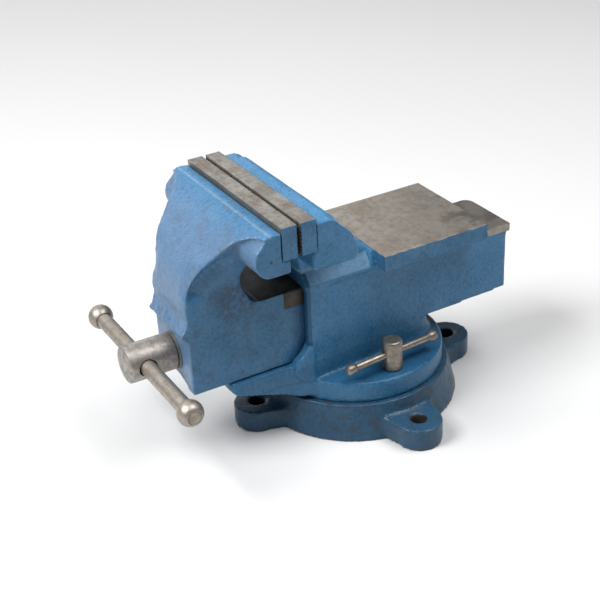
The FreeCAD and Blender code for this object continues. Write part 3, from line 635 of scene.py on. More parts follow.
class Workpiece:
    """One mesh on the bench, shaped with Blender's own operators."""

    def __init__(self, obj: bpy.types.Object) -> None:
        """Take charge of an object.

        Args:
            obj: the mesh object.
        """
        self.obj = obj

    @staticmethod
    def clear() -> None:
        """Leave edit mode and deselect everything.

        Operators work on what is selected, so each job starts from this.
        """
        if bpy.context.object and bpy.context.object.mode != "OBJECT":
            bpy.ops.object.mode_set(mode="OBJECT")
        bpy.ops.object.select_all(action="DESELECT")

    @classmethod
    def added(cls, name: str, primitive: Callable[..., Any], **sizes: Any) -> "Workpiece":
        """Add a primitive and take charge of it.

        Args:
            name: the piece's name.
            primitive: the bpy.ops.mesh primitive operator.
            **sizes: the operator's own settings.

        Returns:
            The new workpiece, with its place in its mesh.
        """
        cls.clear()
        primitive(**sizes)
        obj = bpy.context.object
        obj.name = name
        obj.data.name = name
        bpy.ops.object.transform_apply(location=True, rotation=True, scale=True)
        return cls(obj)

    @classmethod
    def copied(cls, node: str, name: str) -> "Workpiece":
        """Copy a CAD node's mesh and weld its loose triangles.

        Args:
            node: the CAD node.
            name: the new piece's name.

        Returns:
            The welded copy.
        """
        cls.clear()
        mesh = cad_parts[node].data.copy()
        mesh.name = name
        obj = bpy.data.objects.new(name, mesh)
        bpy.context.scene.collection.objects.link(obj)
        piece = cls(obj)
        with piece.editing():
            piece.weld()
        return piece

    @classmethod
    def traced(cls, name: str, spots: Sequence[Vector]) -> "Workpiece":
        """Draw a chain of edges from point to point.

        Args:
            name: the piece's name.
            spots: the points, in order.

        Returns:
            The chain.
        """
        piece = cls.added(name, bpy.ops.mesh.primitive_plane_add, size=MM)
        with piece.editing():
            bpy.ops.mesh.select_all(action="SELECT")
            bpy.ops.mesh.merge(type="CENTER")
            bpy.ops.transform.translate(value=spots[0])
            for before, after in zip(spots, spots[1:]):
                bpy.ops.mesh.extrude_vertices_move(TRANSFORM_OT_translate={"value": after - before})
        return piece

    @classmethod
    def turned(cls, name: str, profile: Sequence[tuple[float, float]], axis: Vector, origin: Vector,
               steps: int = 56) -> "Workpiece":
        """Turn a profile about an axis, as on a lathe.

        Args:
            name: the piece's name.
            profile: (distance along the axis, radius) in metres, from end to end.
            axis: unit direction of the axis.
            origin: point on the axis that distances are counted from.
            steps: sides of the round.

        Returns:
            The closed, turned piece.
        """
        across = axis.orthogonal().normalized()
        piece = cls.traced(name, [origin + axis * along + across * radius for along, radius in profile])
        with piece.editing():
            bpy.ops.mesh.select_all(action="SELECT")
            bpy.ops.mesh.spin(steps=steps, angle=2 * math.pi, center=origin, axis=axis)
            piece.weld()
            bpy.ops.mesh.normals_make_consistent(inside=False)
        return piece

    def hold(self) -> None:
        """Select this piece alone and make it the active one.

        The next operator then works on it.
        """
        self.clear()
        self.obj.select_set(True)
        bpy.context.view_layer.objects.active = self.obj

    @staticmethod
    def weld() -> None:
        """Merge vertices that share a place; called in edit mode."""
        bpy.ops.mesh.select_all(action="SELECT")
        bpy.ops.mesh.remove_doubles(threshold=WELD)

    @contextmanager
    def editing(self) -> Iterator[None]:
        """Edit mode on this piece alone.

        Returns:
            A context that leaves edit mode at its end.
        """
        self.hold()
        bpy.ops.object.mode_set(mode="EDIT")
        bpy.ops.mesh.select_mode(type="VERT")
        yield
        bpy.ops.object.mode_set(mode="OBJECT")

    def pick(self, test: Callable[[Vector], bool]) -> None:
        """Select vertices by place; called in edit mode.

        Args:
            test: takes a vertex's place.
        """
        bpy.ops.mesh.select_all(action="DESELECT")
        bpy.ops.object.mode_set(mode="OBJECT")
        for vertex in self.obj.data.vertices:
            vertex.select = test(vertex.co)
        bpy.ops.object.mode_set(mode="EDIT")

    def modify(self, kind: str, **settings: Any) -> "Workpiece":
        """Add a modifier and apply it.

        Args:
            kind: the modifier's type.
            **settings: its properties.

        Returns:
            This workpiece.
        """
        self.hold()
        modifier = self.obj.modifiers.new(kind.lower(), kind)
        for name, value in settings.items():
            setattr(modifier, name, value)
        bpy.ops.object.modifier_apply(modifier=modifier.name)
        return self

    def ripple(self, name: str, scale: float, depth: float, level: float, **settings: Any) -> "Workpiece":
        """Push the surface about with a cloud pattern.

        Args:
            name: ending of the pattern's name.
            scale: size of the clouds, in metres.
            depth: distance between the pattern's darkest and lightest.
            level: tone of the pattern that leaves the surface where it is.
            **settings: further properties of the displacement.

        Returns:
            This workpiece.
        """
        clouds = bpy.data.textures.new(self.obj.name + name, "CLOUDS")
        clouds.noise_scale = scale
        return self.modify("DISPLACE", texture=clouds, strength=depth, mid_level=level,
                           texture_coords="LOCAL", **settings)

    def group(self, name: str, weight: Callable[[Vector], float]) -> str:
        """Make a vertex group whose weights come from each vertex's place.

        Args:
            name: the group's name.
            weight: takes a vertex's place and gives 0 to 1.

        Returns:
            The group's name.
        """
        made = self.obj.vertex_groups.new(name=name)
        for vertex in self.obj.data.vertices:
            made.add([vertex.index], weight(vertex.co), "REPLACE")
        return made.name

    def drill(self, cutter: "Workpiece") -> "Workpiece":
        """Cut another workpiece out of this one and throw the cutter away.

        Args:
            cutter: the tool body.

        Returns:
            This workpiece.
        """
        self.modify("BOOLEAN", operation="DIFFERENCE", solver="EXACT", object=cutter.obj)
        bpy.data.objects.remove(cutter.obj)
        return self

    def soften(self, angle: float = 35.0) -> "Workpiece":
        """Shade smooth, with sharper edges kept crisp.

        Args:
            angle: degrees between faces above which an edge stays crisp.

        Returns:
            This workpiece.
        """
        self.hold()
        bpy.ops.object.shade_smooth_by_angle(angle=math.radians(angle))
        return self

    def fit(self, material: bpy.types.Material, body: str, slot: str, *nodes: str) -> "Workpiece":
        """Give the piece its finish and place it in the assembly.

        Args:
            material: its finish.
            body: the moving body it rides on.
            slot: not used.
            *nodes: CAD nodes that it stands for.

        Returns:
            This workpiece.
        """
        self.clear()
        self.obj.data.materials.clear()
        self.obj.data.materials.append(material)
        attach(self.obj, body)
        if nodes:
            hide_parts(*nodes)
        log.info("%s: %d faces on %s", self.obj.name, len(self.obj.data.polygons), body)
        return self


def dress(material: bpy.types.Material, *nodes: str) -> None:
    """Give CAD nodes a material where their shape is already right.

    Args:
        material: the finish.
        *nodes: the CAD nodes.
    """
    for node in nodes:
        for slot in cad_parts[node].material_slots:
            slot.material = material
        log.info("%s: CAD shape, %s", node, material.name)


def arc(radius: float, start: float, end: float, count: int) -> list[tuple[float, float]]:
    """Points of an arc round the origin of a lathe profile.

    Args:
        radius: the arc's radius.
        start: first angle in degrees, from the axis direction.
        end: last angle in degrees.
        count: number of points.

    Returns:
        The points, both ends included.
    """
    turns = [math.radians(start + (end - start) * step / (count - 1)) for step in range(count)]
    return [(radius * math.cos(turn), radius * math.sin(turn)) for turn in turns]


def mirrored(half: Sequence[tuple[float, float]]) -> list[tuple[float, float]]:
    """Whole lathe profile from its half beyond the origin."""
    return [(-along, radius) for along, radius in reversed(half)] + list(half)


# ---------------------------------------------------------------- castings


def band(value: float, low: float, high: float, edge: float) -> float:
    """Weight that is 1 between low and high and fades to 0 over an edge outside them.

    Args:
        value: the measured value.
        low: start of the full band.
        high: end of the full band.
        edge: width of each fade.

    Returns:
        The weight, 0 to 1.
    """
    inside = min(value - low, high - value)
    return max(0.0, min(1.0, 1.0 + inside / edge))


@dataclass(frozen=True)
class Zone:
    """Part of a piece between limits in metres, each given as low, high and the fade outside them."""

    x: tuple[float, float, float] | None = None
    y: tuple[float, float, float] | None = None
    z: tuple[float, float, float] | None = None
    radius: tuple[float, float, float] | None = None
    share: float = 1.0

    def weight(self, place: Vector) -> float:
        """How much a vertex belongs to the zone.

        Args:
            place: the vertex's place.

        Returns:
            The weight, from 0 to the zone's share.
        """
        total = self.share
        measures = (*place, math.hypot(place.x, place.y))
        for value, limits in zip(measures, (self.x, self.y, self.z, self.radius)):
            if limits:
                total *= band(value, *limits)
        return total


@dataclass(frozen=True)
class Groove(Zone):
    """Zone that is strongest along a spine seen from the side, the same on both flanks."""

    spine: tuple[tuple[float, float], ...] = ()
    reach: float = 10.5 * MM

    def weight(self, place: Vector) -> float:
        """How much a vertex belongs to the groove.

        Args:
            place: the vertex's place.

        Returns:
            The weight, 0 to 1.
        """
        nearest = min((Vector((place.x, place.z)) - Vector(spot)).length for spot in self.spine)
        flank = super().weight(Vector((place.x, abs(place.y), place.z)))
        return flank * max(0.0, 1.0 - nearest / self.reach)


def strongest(*zones: Zone) -> Callable[[Vector], float]:
    """Weight that a vertex has in the zone it belongs to most."""
    return lambda place: max((zone.weight(place) for zone in zones), default=0.0)


@dataclass
class Casting:
    """A cast-iron piece: the CAD shape with its corners rounded as moulding sand leaves them."""

    node: str
    body: str
    enamel: Enamel
    hollows: tuple[Zone, ...]
    sunk: tuple[Zone, ...] = ()
    crisp: tuple[Zone, ...] = ()
    craggy: tuple[Zone, ...] = ()
    voxel: float = 1.4 * MM
    rounds: int = 3
    coves: int = 30
    sunk_depth: float = 6.0 * MM
    sand_depth: float = 0.25 * MM
    sand_scale: float = 0.012
    rock_depth: float = 1.8 * MM
    rock_scale: float = 0.0045

    def build(self) -> Workpiece:
        """Model the casting.

        Returns:
            The finished mesh.
        """
        piece = Workpiece.copied(self.node, self.node + "_casting")
        piece.modify("REMESH", mode="VOXEL", voxel_size=self.voxel)
        kept = strongest(*self.crisp)
        rounded = piece.group("rounded", lambda place: 1.0 - kept(place))
        hollow = piece.group("hollow", strongest(*self.hollows))
        sunk = piece.group("sunk", strongest(*self.sunk))
        crag = piece.group("crag", strongest(*self.craggy))
        piece.modify("SMOOTH", factor=0.5, iterations=self.coves, vertex_group=hollow)
        piece.modify("DISPLACE", strength=-self.sunk_depth, mid_level=0.0, vertex_group=sunk)
        piece.modify("SMOOTH", factor=0.5, iterations=self.rounds, vertex_group=rounded)
        piece.ripple("_rock", self.rock_scale, self.rock_depth, 0.75, vertex_group=crag)
        piece.ripple("_sand", self.sand_scale, self.sand_depth, 0.62, vertex_group=rounded)
        return piece.soften(50.0)

    def dress(self, piece: Workpiece) -> None:
        """Paint the casting and fit it."""
        piece.fit(self.enamel.build(), self.body, "blue_enamel", self.node)


@dataclass(frozen=True)
class Castings:
    """The three castings, and the zones where their surfaces differ from the CAD shape."""

    anvil_core: Zone = Zone(x=(-0.0015, 0.1395, 0.0005), z=(0.1282, 0.1440, 0.0008), share=0.15)
    step_core: Zone = Zone(x=(0.0995, 0.1395, 0.0005), z=(0.1172, 0.1260, 0.0006), share=0.15)
    under_jaw: Zone = Zone(x=(-0.076, -0.004, 0.003), z=(0.143, 0.181, 0.004))
    behind_jaw: Zone = Zone(x=(-0.052, -0.004, 0.003), y=(-0.070, 0.070, 0.004), z=(0.143, 0.198, 0.003))
    pedestal_foot: Zone = Zone(x=(-0.048, 0.090, 0.004), z=(0.046, 0.060, 0.002), share=0.6)
    apron_root: Zone = Zone(x=(-0.170, -0.109, 0.003), y=(-0.071, 0.071, 0.002), z=(0.140, 0.196, 0.005))
    crest_groove: Groove = Groove(
        x=(-0.170, -0.137, 0.012), y=(0.029, 0.050, 0.010),
        spine=((-0.1545, 0.1520), (-0.1525, 0.1560), (-0.1490, 0.1610), (-0.1450, 0.1650),
               (-0.1400, 0.1685), (-0.1340, 0.1720), (-0.1290, 0.1735)))
    bar_crease: Zone = Zone(x=(-0.1155, -0.1090, 0.002), z=(0.1990, 0.2060, 0.002), share=0.8)
    ragged_lip: Zone = Zone(x=(-0.170, -0.1625, 0.0015), z=(0.112, 0.131, 0.003))
    lug_root: Zone = Zone(z=(0.004, 0.026, 0.002), radius=(0.070, 0.090, 0.003))

    def build(self, finishes: Finishes) -> None:
        """Model and paint the castings.

        Args:
            finishes: the vise's materials.
        """
        for plan in (
                Casting("fixed_body", "vise_body", finishes.body,
                        (self.under_jaw, self.behind_jaw, self.pedestal_foot),
                        sunk=(self.anvil_core, self.step_core), voxel=1.5 * MM, coves=20),
                Casting("movable_jaw", "moving_jaw", finishes.jaw, (self.apron_root,),
                        sunk=(self.crest_groove,), crisp=(self.bar_crease,), craggy=(self.ragged_lip,)),
                Casting("swivel_base", "base", finishes.base, (self.lug_root,))):
            plan.dress(plan.build())


@dataclass
class AnvilShell:
    """Ground anvil block and the cutting step behind it, with crisp edges."""

    rear_x: float = 99.0 * MM
    half: float = 49.0 * MM
    low: float = 129.0 * MM
    top: float = 143.0 * MM
    step_rear_x: float = 137.5 * MM
    step_half: float = 29.5 * MM
    step_low: float = 117.7 * MM
    step_top: float = 125.0 * MM
    corner_r: float = 8.0 * MM
    edge: float = 0.5 * MM
    waves: float = 0.25 * MM
    wave_scale: float = 0.014
    step_root: float = 4.0 * MM

    def block(self, name: str, low: Vector, high: Vector) -> Workpiece:
        """One block between two corners."""
        return Workpiece.added(name, bpy.ops.mesh.primitive_cube_add, size=1.0, location=(low + high) / 2,
                               scale=high - low)

    def finish(self, piece: Workpiece) -> Workpiece:
        """Break the block's edges and make its faces slightly uneven.

        Args:
            piece: the block.

        Returns:
            The same piece.
        """
        piece.modify("BEVEL", width=self.edge, segments=2, limit_method="ANGLE", angle_limit=math.radians(40))
        with piece.editing():
            bpy.ops.mesh.select_all(action="SELECT")
            bpy.ops.mesh.quads_convert_to_tris()
            bpy.ops.mesh.tris_convert_to_quads()
            bpy.ops.mesh.subdivide(number_cuts=20)
            piece.weld()
        return piece.ripple("_waves", self.wave_scale, self.waves, 1.0).soften(30.0)

    def build(self, finishes: Finishes) -> None:
        """Model, paint and fit the two blocks.

        Args:
            finishes: the vise's materials.
        """
        coat = Enamel("anvil_finish", finishes.ground, Machined.ANVIL, chip_share=0.0).build()
        low = Vector((0.0, -self.half, self.low))
        block = self.block("anvil_block", low, Vector((self.rear_x, self.half, self.top)))
        self.finish(block).fit(coat, "vise_body", "blue_enamel", "fixed_body")
        low = Vector((self.rear_x - self.step_root, -self.step_half, self.step_low))
        step = self.block("anvil_step", low, Vector((self.step_rear_x, self.step_half, self.step_top)))
        with step.editing():
            step.pick(lambda place: place.x > self.rear_x and place.y > 0.0)
            bpy.ops.mesh.bevel(offset=self.corner_r, segments=6, affect="EDGES")
        self.finish(step).fit(coat, "vise_body", "blue_enamel", "fixed_body")


# ---------------------------------------------------------------- jaw plates


@dataclass
class JawPlate:
    """Hardened plate with a face of small pyramids."""

    node: str
    body: str
    faces_plus_x: bool
    pitch: float = 3.0 * MM
    depth: float = 1.1 * MM
    hole_y: float = 42.0 * MM
    hole_z: float = 190.5 * MM
    head_r: float = 6.3 * MM
    shank_r: float = 4.3 * MM
    head_depth: float = 8.2 * MM
    drill_reach: float = 20.0 * MM
    nick_depth: float = 0.7 * MM
    nick_scale: float = 0.0032
    rim: Zone = Zone(z=(0.2064, 0.2080, 0.0004))

    @property
    def sign(self) -> float:
        """+1 when the teeth face +X, else -1."""
        return 1.0 if self.faces_plus_x else -1.0

    def toothed(self) -> Workpiece:
        """Model the plate before its holes: a grid of pyramids, trimmed, drawn back and closed.

        Returns:
            The closed mesh.
        """
        low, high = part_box(self.node)
        face_x, back_x = (high.x, low.x) if self.faces_plus_x else (low.x, high.x)
        columns = round((high.y - low.y) / self.pitch)
        rows = math.ceil((high.z - low.z) / self.pitch) + 1
        middle = Vector((face_x - self.sign * self.depth, 0.0, (low.z + high.z) / 2))
        piece = Workpiece.added(self.node + "_toothed", bpy.ops.mesh.primitive_grid_add,
                                x_subdivisions=columns, y_subdivisions=rows, size=1.0, location=middle,
                                rotation=(math.pi / 2, 0.0, self.sign * math.pi / 2),
                                scale=(high.y - low.y, rows * self.pitch, 1.0))
        with piece.editing():
            bpy.ops.mesh.select_all(action="SELECT")
            bpy.ops.transform.resize(value=(1.0, high.y - low.y, rows * self.pitch), center_override=middle)
            bpy.ops.mesh.poke(offset=self.depth, use_relative_offset=False)
            for limit, normal in ((high, 1.0), (low, -1.0)):
                bpy.ops.mesh.select_all(action="SELECT")
                bpy.ops.mesh.bisect(plane_co=limit, plane_no=(0.0, 0.0, normal), clear_outer=True)
            bpy.ops.mesh.select_mode(type="EDGE")
            bpy.ops.mesh.select_all(action="DESELECT")
            bpy.ops.mesh.select_non_manifold()
            bpy.ops.mesh.extrude_edges_move(TRANSFORM_OT_translate={"value": (self.sign * -2 * MM, 0.0, 0.0)})
            bpy.ops.transform.resize(value=(0.0, 1.0, 1.0), center_override=(back_x, 0.0, 0.0))
            bpy.ops.mesh.edge_face_add()
            bpy.ops.mesh.select_all(action="SELECT")
            bpy.ops.mesh.normals_make_consistent(inside=False)
        return piece

    def build(self) -> Workpiece:
        """Model the plate, drill it and nick its top rim.

        Returns:
            The finished mesh.
        """
        piece = self.toothed()
        low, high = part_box(self.node)
        inward = Vector((-self.sign, 0.0, 0.0))
        face_x = high.x if self.faces_plus_x else low.x
        profile = [(-2 * MM, 0.0), (-2 * MM, self.head_r), (self.head_depth, self.head_r),
                   (self.head_depth, self.shank_r), (self.drill_reach, self.shank_r), (self.drill_reach, 0.0)]
        for side in (-1.0, 1.0):
            mouth = Vector((face_x, side * self.hole_y, self.hole_z))
            piece.drill(Workpiece.turned("plate_drill", profile, inward, mouth, 40))
        rim = piece.group("rim", self.rim.weight)
        piece.ripple("_nicks", self.nick_scale, self.nick_depth, 0.8, direction="X", vertex_group=rim)
        return piece.soften(25.0)

    def dress(self, piece: Workpiece, finishes: Finishes) -> None:
        """Finish and fit the plate."""
        paint = Enamel(self.node + "_finish", finishes.plate, Machined.PLATE, chip_share=0.0)
        piece.fit(paint.build(), self.body, "jaw_steel", self.node)


# ---------------------------------------------------------------- screw and handle


@dataclass
class ScrewGroup:
    """Lead screw with its head, thread and the pieces that hold it in the moving jaw."""

    head_r: float = 14.8 * MM
    journal_r: float = 11.0 * MM
    thread_r: float = 10.4 * MM
    root_r: float = 8.4 * MM
    pitch: float = 5.0 * MM
    head_end: float = 40.3 * MM
    journal_end: float = 71.6 * MM
    bar_r: float = 6.36 * MM
    bar_place: float = 15.1 * MM
    crown: float = 1.6 * MM

    def head(self, front: Vector, length: float) -> Workpiece:
        """Turn the head, journal and core.

        Args:
            front: middle of the head's front face.
            length: whole length of the screw.

        Returns:
            The drilled head.
        """
        edge = 1.1 * MM
        profile = [(0.9 * MM, 0.0), (0.2 * MM, 1.3 * MM), (0.0, 2.2 * MM), (0.25 * MM, 6.0 * MM),
                   (0.7 * MM, 10.0 * MM), (self.crown, self.head_r - 1.2 * MM),
                   (self.crown + 0.5 * edge, self.head_r - 0.35 * MM),
                   (self.crown + 1.3 * edge, self.head_r), (self.head_end - edge, self.head_r),
                   (self.head_end, self.head_r - edge), (self.head_end, self.journal_r),
                   (self.journal_end, self.journal_r), (self.journal_end, self.root_r),
                   (length - MM, self.root_r), (length, self.root_r - MM), (length, 0.0)]
        piece = Workpiece.turned("lead_screw_turning", profile, Vector((1.0, 0.0, 0.0)), front, 72)
        reach = self.head_r + 2 * MM
        bore = self.bar_r + 0.8 * MM
        flare = mirrored([(self.head_r - MM, bore), (reach, bore + 2 * MM), (reach, 0.0)])
        hole = front + Vector((self.bar_place, 0.0, 0.0))
        piece.drill(Workpiece.turned("bar_drill", flare, Vector((0.0, 1.0, 0.0)), hole, 48))
        return piece.soften(30.0)

    def thread(self, front: Vector, length: float) -> Workpiece:
        """Wind the thread round the core.

        Args:
            front: middle of the head's front face.
            length: whole length of the screw.

        Returns:
            The closed thread ridge.
        """
        start = front + Vector((self.journal_end + 0.5 * MM, 0.0, 0.0))
        turns = int((length - self.journal_end - 1.5 * MM) / self.pitch) - 1
        quarter = self.pitch / 4
        foot = self.root_r - 0.3 * MM
        ridge = [(0.0, foot), (0.6 * quarter, self.thread_r), (2.0 * quarter, self.thread_r),
                 (2.6 * quarter, foot)]
        spots = [start + Vector((along, 0.0, radius)) for along, radius in ridge]
        piece = Workpiece.traced("lead_screw_thread", spots)
        with piece.editing():
            bpy.ops.mesh.select_all(action="SELECT")
            bpy.ops.mesh.edge_face_add()
        axis = bpy.data.objects.new("screw_axis", None)
        bpy.context.scene.collection.objects.link(axis)
        axis.location = front
        bpy.context.view_layer.update()
        piece.modify("SCREW", axis="X", object=axis, steps=32, render_steps=32, iterations=turns,
                     screw_offset=self.pitch, use_normal_calculate=True)
        bpy.data.objects.remove(axis)
        with piece.editing():
            piece.weld()
            bpy.ops.mesh.fill_holes(sides=len(ridge))
            bpy.ops.mesh.normals_make_consistent(inside=False)
        return piece.soften(30.0)

    def build(self, finishes: Finishes) -> None:
        """Model, finish and fit the whole group.

        Args:
            finishes: the vise's materials.
        """
        low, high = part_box("lead_screw")
        front = Vector((low.x, 0.0, (low.z + high.z) / 2))
        steel = finishes.turned.build()
        self.head(front, high.x - low.x).fit(steel, "screw", "bright_steel", "lead_screw")
        self.thread(front, high.x - low.x).fit(steel, "screw", "bright_steel", "lead_screw")
        dress(steel, "retaining_collar", "collar_pin", "thrust_washer")


@dataclass
class Handle:
    """Sliding bar with a ball at each end."""

    bar_r: float = 6.3 * MM
    ball_r: float = 10.0 * MM
    flat: float = 7.6 * MM

    def knob(self, node: str, middle: Vector, outward: float) -> Workpiece:
        """Turn one ball end with a peened bar end in its flat.

        Args:
            node: the CAD node it stands for.
            middle: the ball's centre.
            outward: +1 when its flat faces +Y, else -1.

        Returns:
            The knob.
        """
        rim = math.degrees(math.acos(self.flat / self.ball_r))
        back = 180.0 - math.degrees(math.asin((self.bar_r + 0.5 * MM) / self.ball_r))
        curve = arc(self.ball_r, rim + 5.0, back, 14)
        face = [(self.flat - 0.15 * MM, 0.0), (self.flat, 4.6 * MM), (self.flat - 0.5 * MM, 4.9 * MM),
                (self.flat - 0.5 * MM, 5.3 * MM), (self.flat, 5.6 * MM), (self.flat, 6.1 * MM)]
        mouth = [(-self.bar_r, self.bar_r + 0.2 * MM), (-2 * MM, self.bar_r + 0.1 * MM), (-2 * MM, 0.0)]
        axis = Vector((0.0, outward, 0.0))
        return Workpiece.turned(node + "_ball", face + curve + mouth, axis, middle, 48).soften(28.0)

    def build(self, finishes: Finishes) -> None:
        """Model, finish and fit the handle.

        Args:
            finishes: the vise's materials.
        """
        steel = finishes.handle.build()
        low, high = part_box("handle_bar")
        middle = (low + high) / 2
        half = (high.y - low.y) / 2
        waist = [(-half, 0.0), (-half, self.bar_r - 0.6 * MM), (-half + 0.6 * MM, self.bar_r - 0.05 * MM)]
        waist += [(half * share, self.bar_r * (1.0 - 0.006 * (step % 2))) for step, share in
                  enumerate((-0.8, -0.62, -0.35, -0.1, 0.2, 0.45, 0.66, 0.85))]
        waist += [(half - 0.6 * MM, self.bar_r - 0.05 * MM), (half, self.bar_r - 0.6 * MM), (half, 0.0)]
        bar = Workpiece.turned("handle_bar_rod", waist, Vector((0.0, 1.0, 0.0)), middle, 40)
        bar.soften(30.0).fit(steel, "handle", "handle_steel", "handle_bar")
        for node, outward in (("handle_knob_far", 1.0), ("handle_knob_near", -1.0)):
            low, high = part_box(node)
            centre = Vector((middle.x, high.y - self.flat if outward > 0 else low.y + self.flat, middle.z))
            self.knob(node, centre, outward).fit(steel, "handle", "handle_steel", node)


# ---------------------------------------------------------------- lock bolts


@dataclass
class LockBolt:
    """Clamp bolt on the swivel disc with its sliding bar; side is -1 near and +1 far."""

    side: float
    head_r: float = 8.25 * MM
    shank_r: float = 5.0 * MM
    bar_r: float = 3.0 * MM
    bar_fit: float = 0.08 * MM
    bar_half: float = 40.6 * MM
    bar_z: float = 60.6 * MM
    circle_r: float = 57.5 * MM
    turn: float = 4.5
    ball_r: float = 4.2 * MM

    @property
    def prefix(self) -> str:
        """Name of this side."""
        return "near" if self.side < 0 else "far"

    @property
    def along(self) -> Vector:
        """Direction of the bar at rest."""
        angle = math.radians(-self.side * self.turn)
        return Vector((math.cos(angle), math.sin(angle), 0.0))

    def bolt(self) -> Workpiece:
        """Turn the bolt and drill it for the bar.

        Returns:
            The bolt.
        """
        low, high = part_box(self.prefix + "_lock_bolt")
        foot = Vector((0.0, self.side * self.circle_r, low.z))
        head_low = 47.3 * MM - low.z
        top = high.z - low.z
        profile = [(0.0, 0.0), (0.0, self.shank_r - MM), (MM, self.shank_r), (head_low, self.shank_r),
                   (head_low, self.head_r - 0.5 * MM), (head_low + 0.5 * MM, self.head_r),
                   (top - 1.5 * MM, self.head_r), (top - 0.6 * MM, self.head_r - 0.5 * MM),
                   (top, self.head_r - 1.6 * MM), (top - 0.1 * MM, 3.0 * MM), (top - 0.2 * MM, 0.0)]
        piece = Workpiece.turned(self.prefix + "_lock_head", profile, Vector((0.0, 0.0, 1.0)), foot, 48)
        hole_r = self.bar_r + self.bar_fit
        reach = self.head_r + 2 * MM
        flare = mirrored([(self.head_r - 0.5 * MM, hole_r), (reach, hole_r + 1.2 * MM), (reach, 0.0)])
        centre = Vector((0.0, foot.y, self.bar_z))
        return piece.drill(Workpiece.turned("lock_drill", flare, self.along, centre, 32)).soften(30.0)

    def bar(self) -> Workpiece:
        """Turn the bar with its two ball ends in one sweep.

        Returns:
            The bar.
        """
        reach = self.bar_half
        tip = self.bar_r * 0.95
        cap = reach + 4.3 * MM
        end = [(reach - 5.6 * MM, self.bar_r), (reach - 5.0 * MM, tip), (reach - 4.2 * MM, tip + 0.3 * MM),
               (reach - 3.4 * MM, self.ball_r - 0.5 * MM), (reach - 2.2 * MM, self.ball_r),
               (reach + 2.2 * MM, self.ball_r), (reach + 3.6 * MM, self.ball_r - 0.6 * MM),
               (cap - 0.1 * MM, self.ball_r - 1.7 * MM), (cap, 1.6 * MM), (cap, 0.0)]
        middle = Vector((0.0, self.side * self.circle_r, self.bar_z))
        rod = Workpiece.turned(self.prefix + "_lock_rod", mirrored(end), self.along, middle, 32)
        return rod.soften(30.0)

    def build(self, finishes: Finishes) -> None:
        """Model, finish and fit this lock.

        Args:
            finishes: the vise's materials.
        """
        steel = finishes.lock.build()
        self.bolt().fit(steel, self.prefix + "_lock", "handle_steel", self.prefix + "_lock_bolt")
        nodes = (self.prefix + "_lock_bar", self.prefix + "_lock_knobs")
        self.bar().fit(steel, self.prefix + "_bar", "handle_steel", *nodes)


# ---------------------------------------------------------------- studio


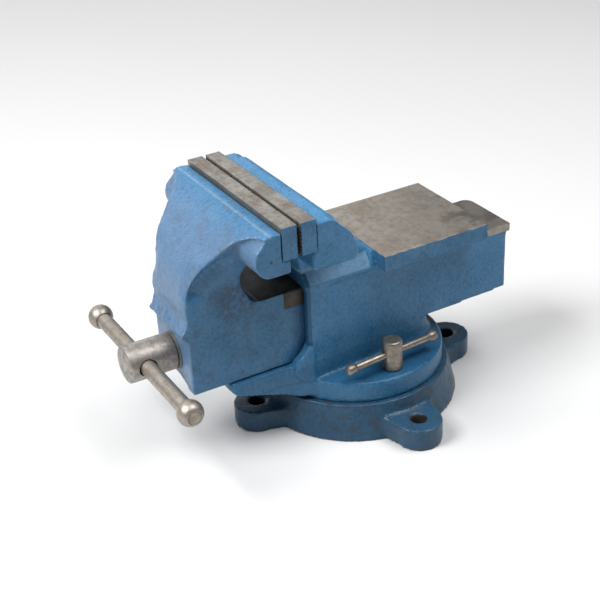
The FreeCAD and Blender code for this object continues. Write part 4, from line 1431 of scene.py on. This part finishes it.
@dataclass
class Studio:
    """Plain floor, soft lights and the camera."""

    azimuth: float = -28.74
    elevation: float = 29.54
    roll: float = -3.0
    distance: float = 1.04408
    lens: float = 78.0
    aim: tuple[float, float, float] = (-0.04814, 0.00266, 0.09618)
    floor_z: float = -0.4 * MM
    middle: tuple[float, float, float] = (0.0, 0.0, 0.1)
    daylight: float = 0.10

    def camera(self) -> None:
        """Place the camera.

        It looks at the aim from the distance, and the roll leans it to one side.
        """
        turn, rise, lean = (math.radians(value) for value in (self.azimuth, self.elevation, self.roll))
        back = Vector((math.sin(turn) * math.cos(rise), -math.cos(turn) * math.cos(rise), math.sin(rise)))
        right = Vector((0.0, 0.0, 1.0)).cross(back).normalized()
        up = back.cross(right)
        tilted_right = math.cos(lean) * right + math.sin(lean) * up
        tilted_up = math.cos(lean) * up - math.sin(lean) * right
        data = bpy.data.cameras.new("camera")
        data.lens = self.lens
        data.clip_start = 0.01
        data.clip_end = 20.0
        obj = bpy.data.objects.new("camera", data)
        bpy.context.scene.collection.objects.link(obj)
        axes = Matrix((tilted_right, tilted_up, back)).transposed()
        obj.matrix_world = Matrix.Translation(Vector(self.aim) + back * self.distance) @ axes.to_4x4()
        bpy.context.scene.camera = obj

    def floor(self) -> None:
        """Lay a wide pale floor just under the base.

        It is staging and no part of the vise.
        """
        plane = Workpiece.added("floor", bpy.ops.mesh.primitive_plane_add, size=8.0,
                                location=(0.0, 0.0, self.floor_z))
        shader = Shader("pale_floor")
        tone = shader.mix(shader.noise(3.0, 2.0), (0.63, 0.63, 0.63), (0.66, 0.66, 0.66))
        plane.obj.data.materials.append(shader.close(tone, 0.85, 0.0, None))

    def light(self, name: str, place: Vector, size: float, power: float) -> None:
        """Hang one soft area light aimed at the vise.

        Args:
            name: the light's name.
            place: where it hangs.
            size: side of the square panel.
            power: watts.
        """
        data = bpy.data.lights.new(name, "AREA")
        data.size = size
        data.energy = power
        obj = bpy.data.objects.new(name, data)
        obj.location = place
        obj.rotation_euler = (place - Vector(self.middle)).to_track_quat("Z", "Y").to_euler()
        bpy.context.scene.collection.objects.link(obj)

    def build(self) -> None:
        """Set up floor, lights, world and camera.

        Three soft panels give the main light, and the world fills the shadows.
        """
        self.floor()
        self.light("key", Vector((-1.25, 0.10, 1.50)), 0.9, 46.0)
        self.light("top", Vector((0.55, -0.50, 1.75)), 1.2, 28.0)
        self.light("back", Vector((-0.10, 2.20, 1.30)), 3.0, 30.0)
        world = bpy.data.worlds.new("studio")
        world.use_nodes = True
        background = world.node_tree.nodes["Background"]
        background.inputs["Color"].default_value = solid((1.0, 1.0, 1.0))
        background.inputs["Strength"].default_value = self.daylight
        bpy.context.scene.world = world
        bpy.context.scene.view_settings.view_transform = "Standard"
        self.camera()


def main() -> None:
    """Build the whole vise in order.
    """
    logging.basicConfig(level=logging.INFO, format="%(message)s")
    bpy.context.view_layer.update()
    finishes = Finishes()
    Studio().build()
    Castings().build(finishes)
    AnvilShell().build(finishes)
    for plate in (JawPlate("fixed_jaw_plate", "vise_body", False),
                  JawPlate("movable_jaw_plate", "moving_jaw", True)):
        plate.dress(plate.build(), finishes)
    ScrewGroup().build(finishes)
    Handle().build(finishes)
    for side in (-1.0, 1.0):
        LockBolt(side).build(finishes)
    dress(finishes.black.build(), "fixed_plate_screws", "movable_plate_screws", "nut_bolts", "pivot_bolt",
          "pivot_washer", "pivot_nut", "clamp_nuts", "disc_spring")
    dress(finishes.iron.build(), "main_nut")


if __name__ == "__main__":
    main()
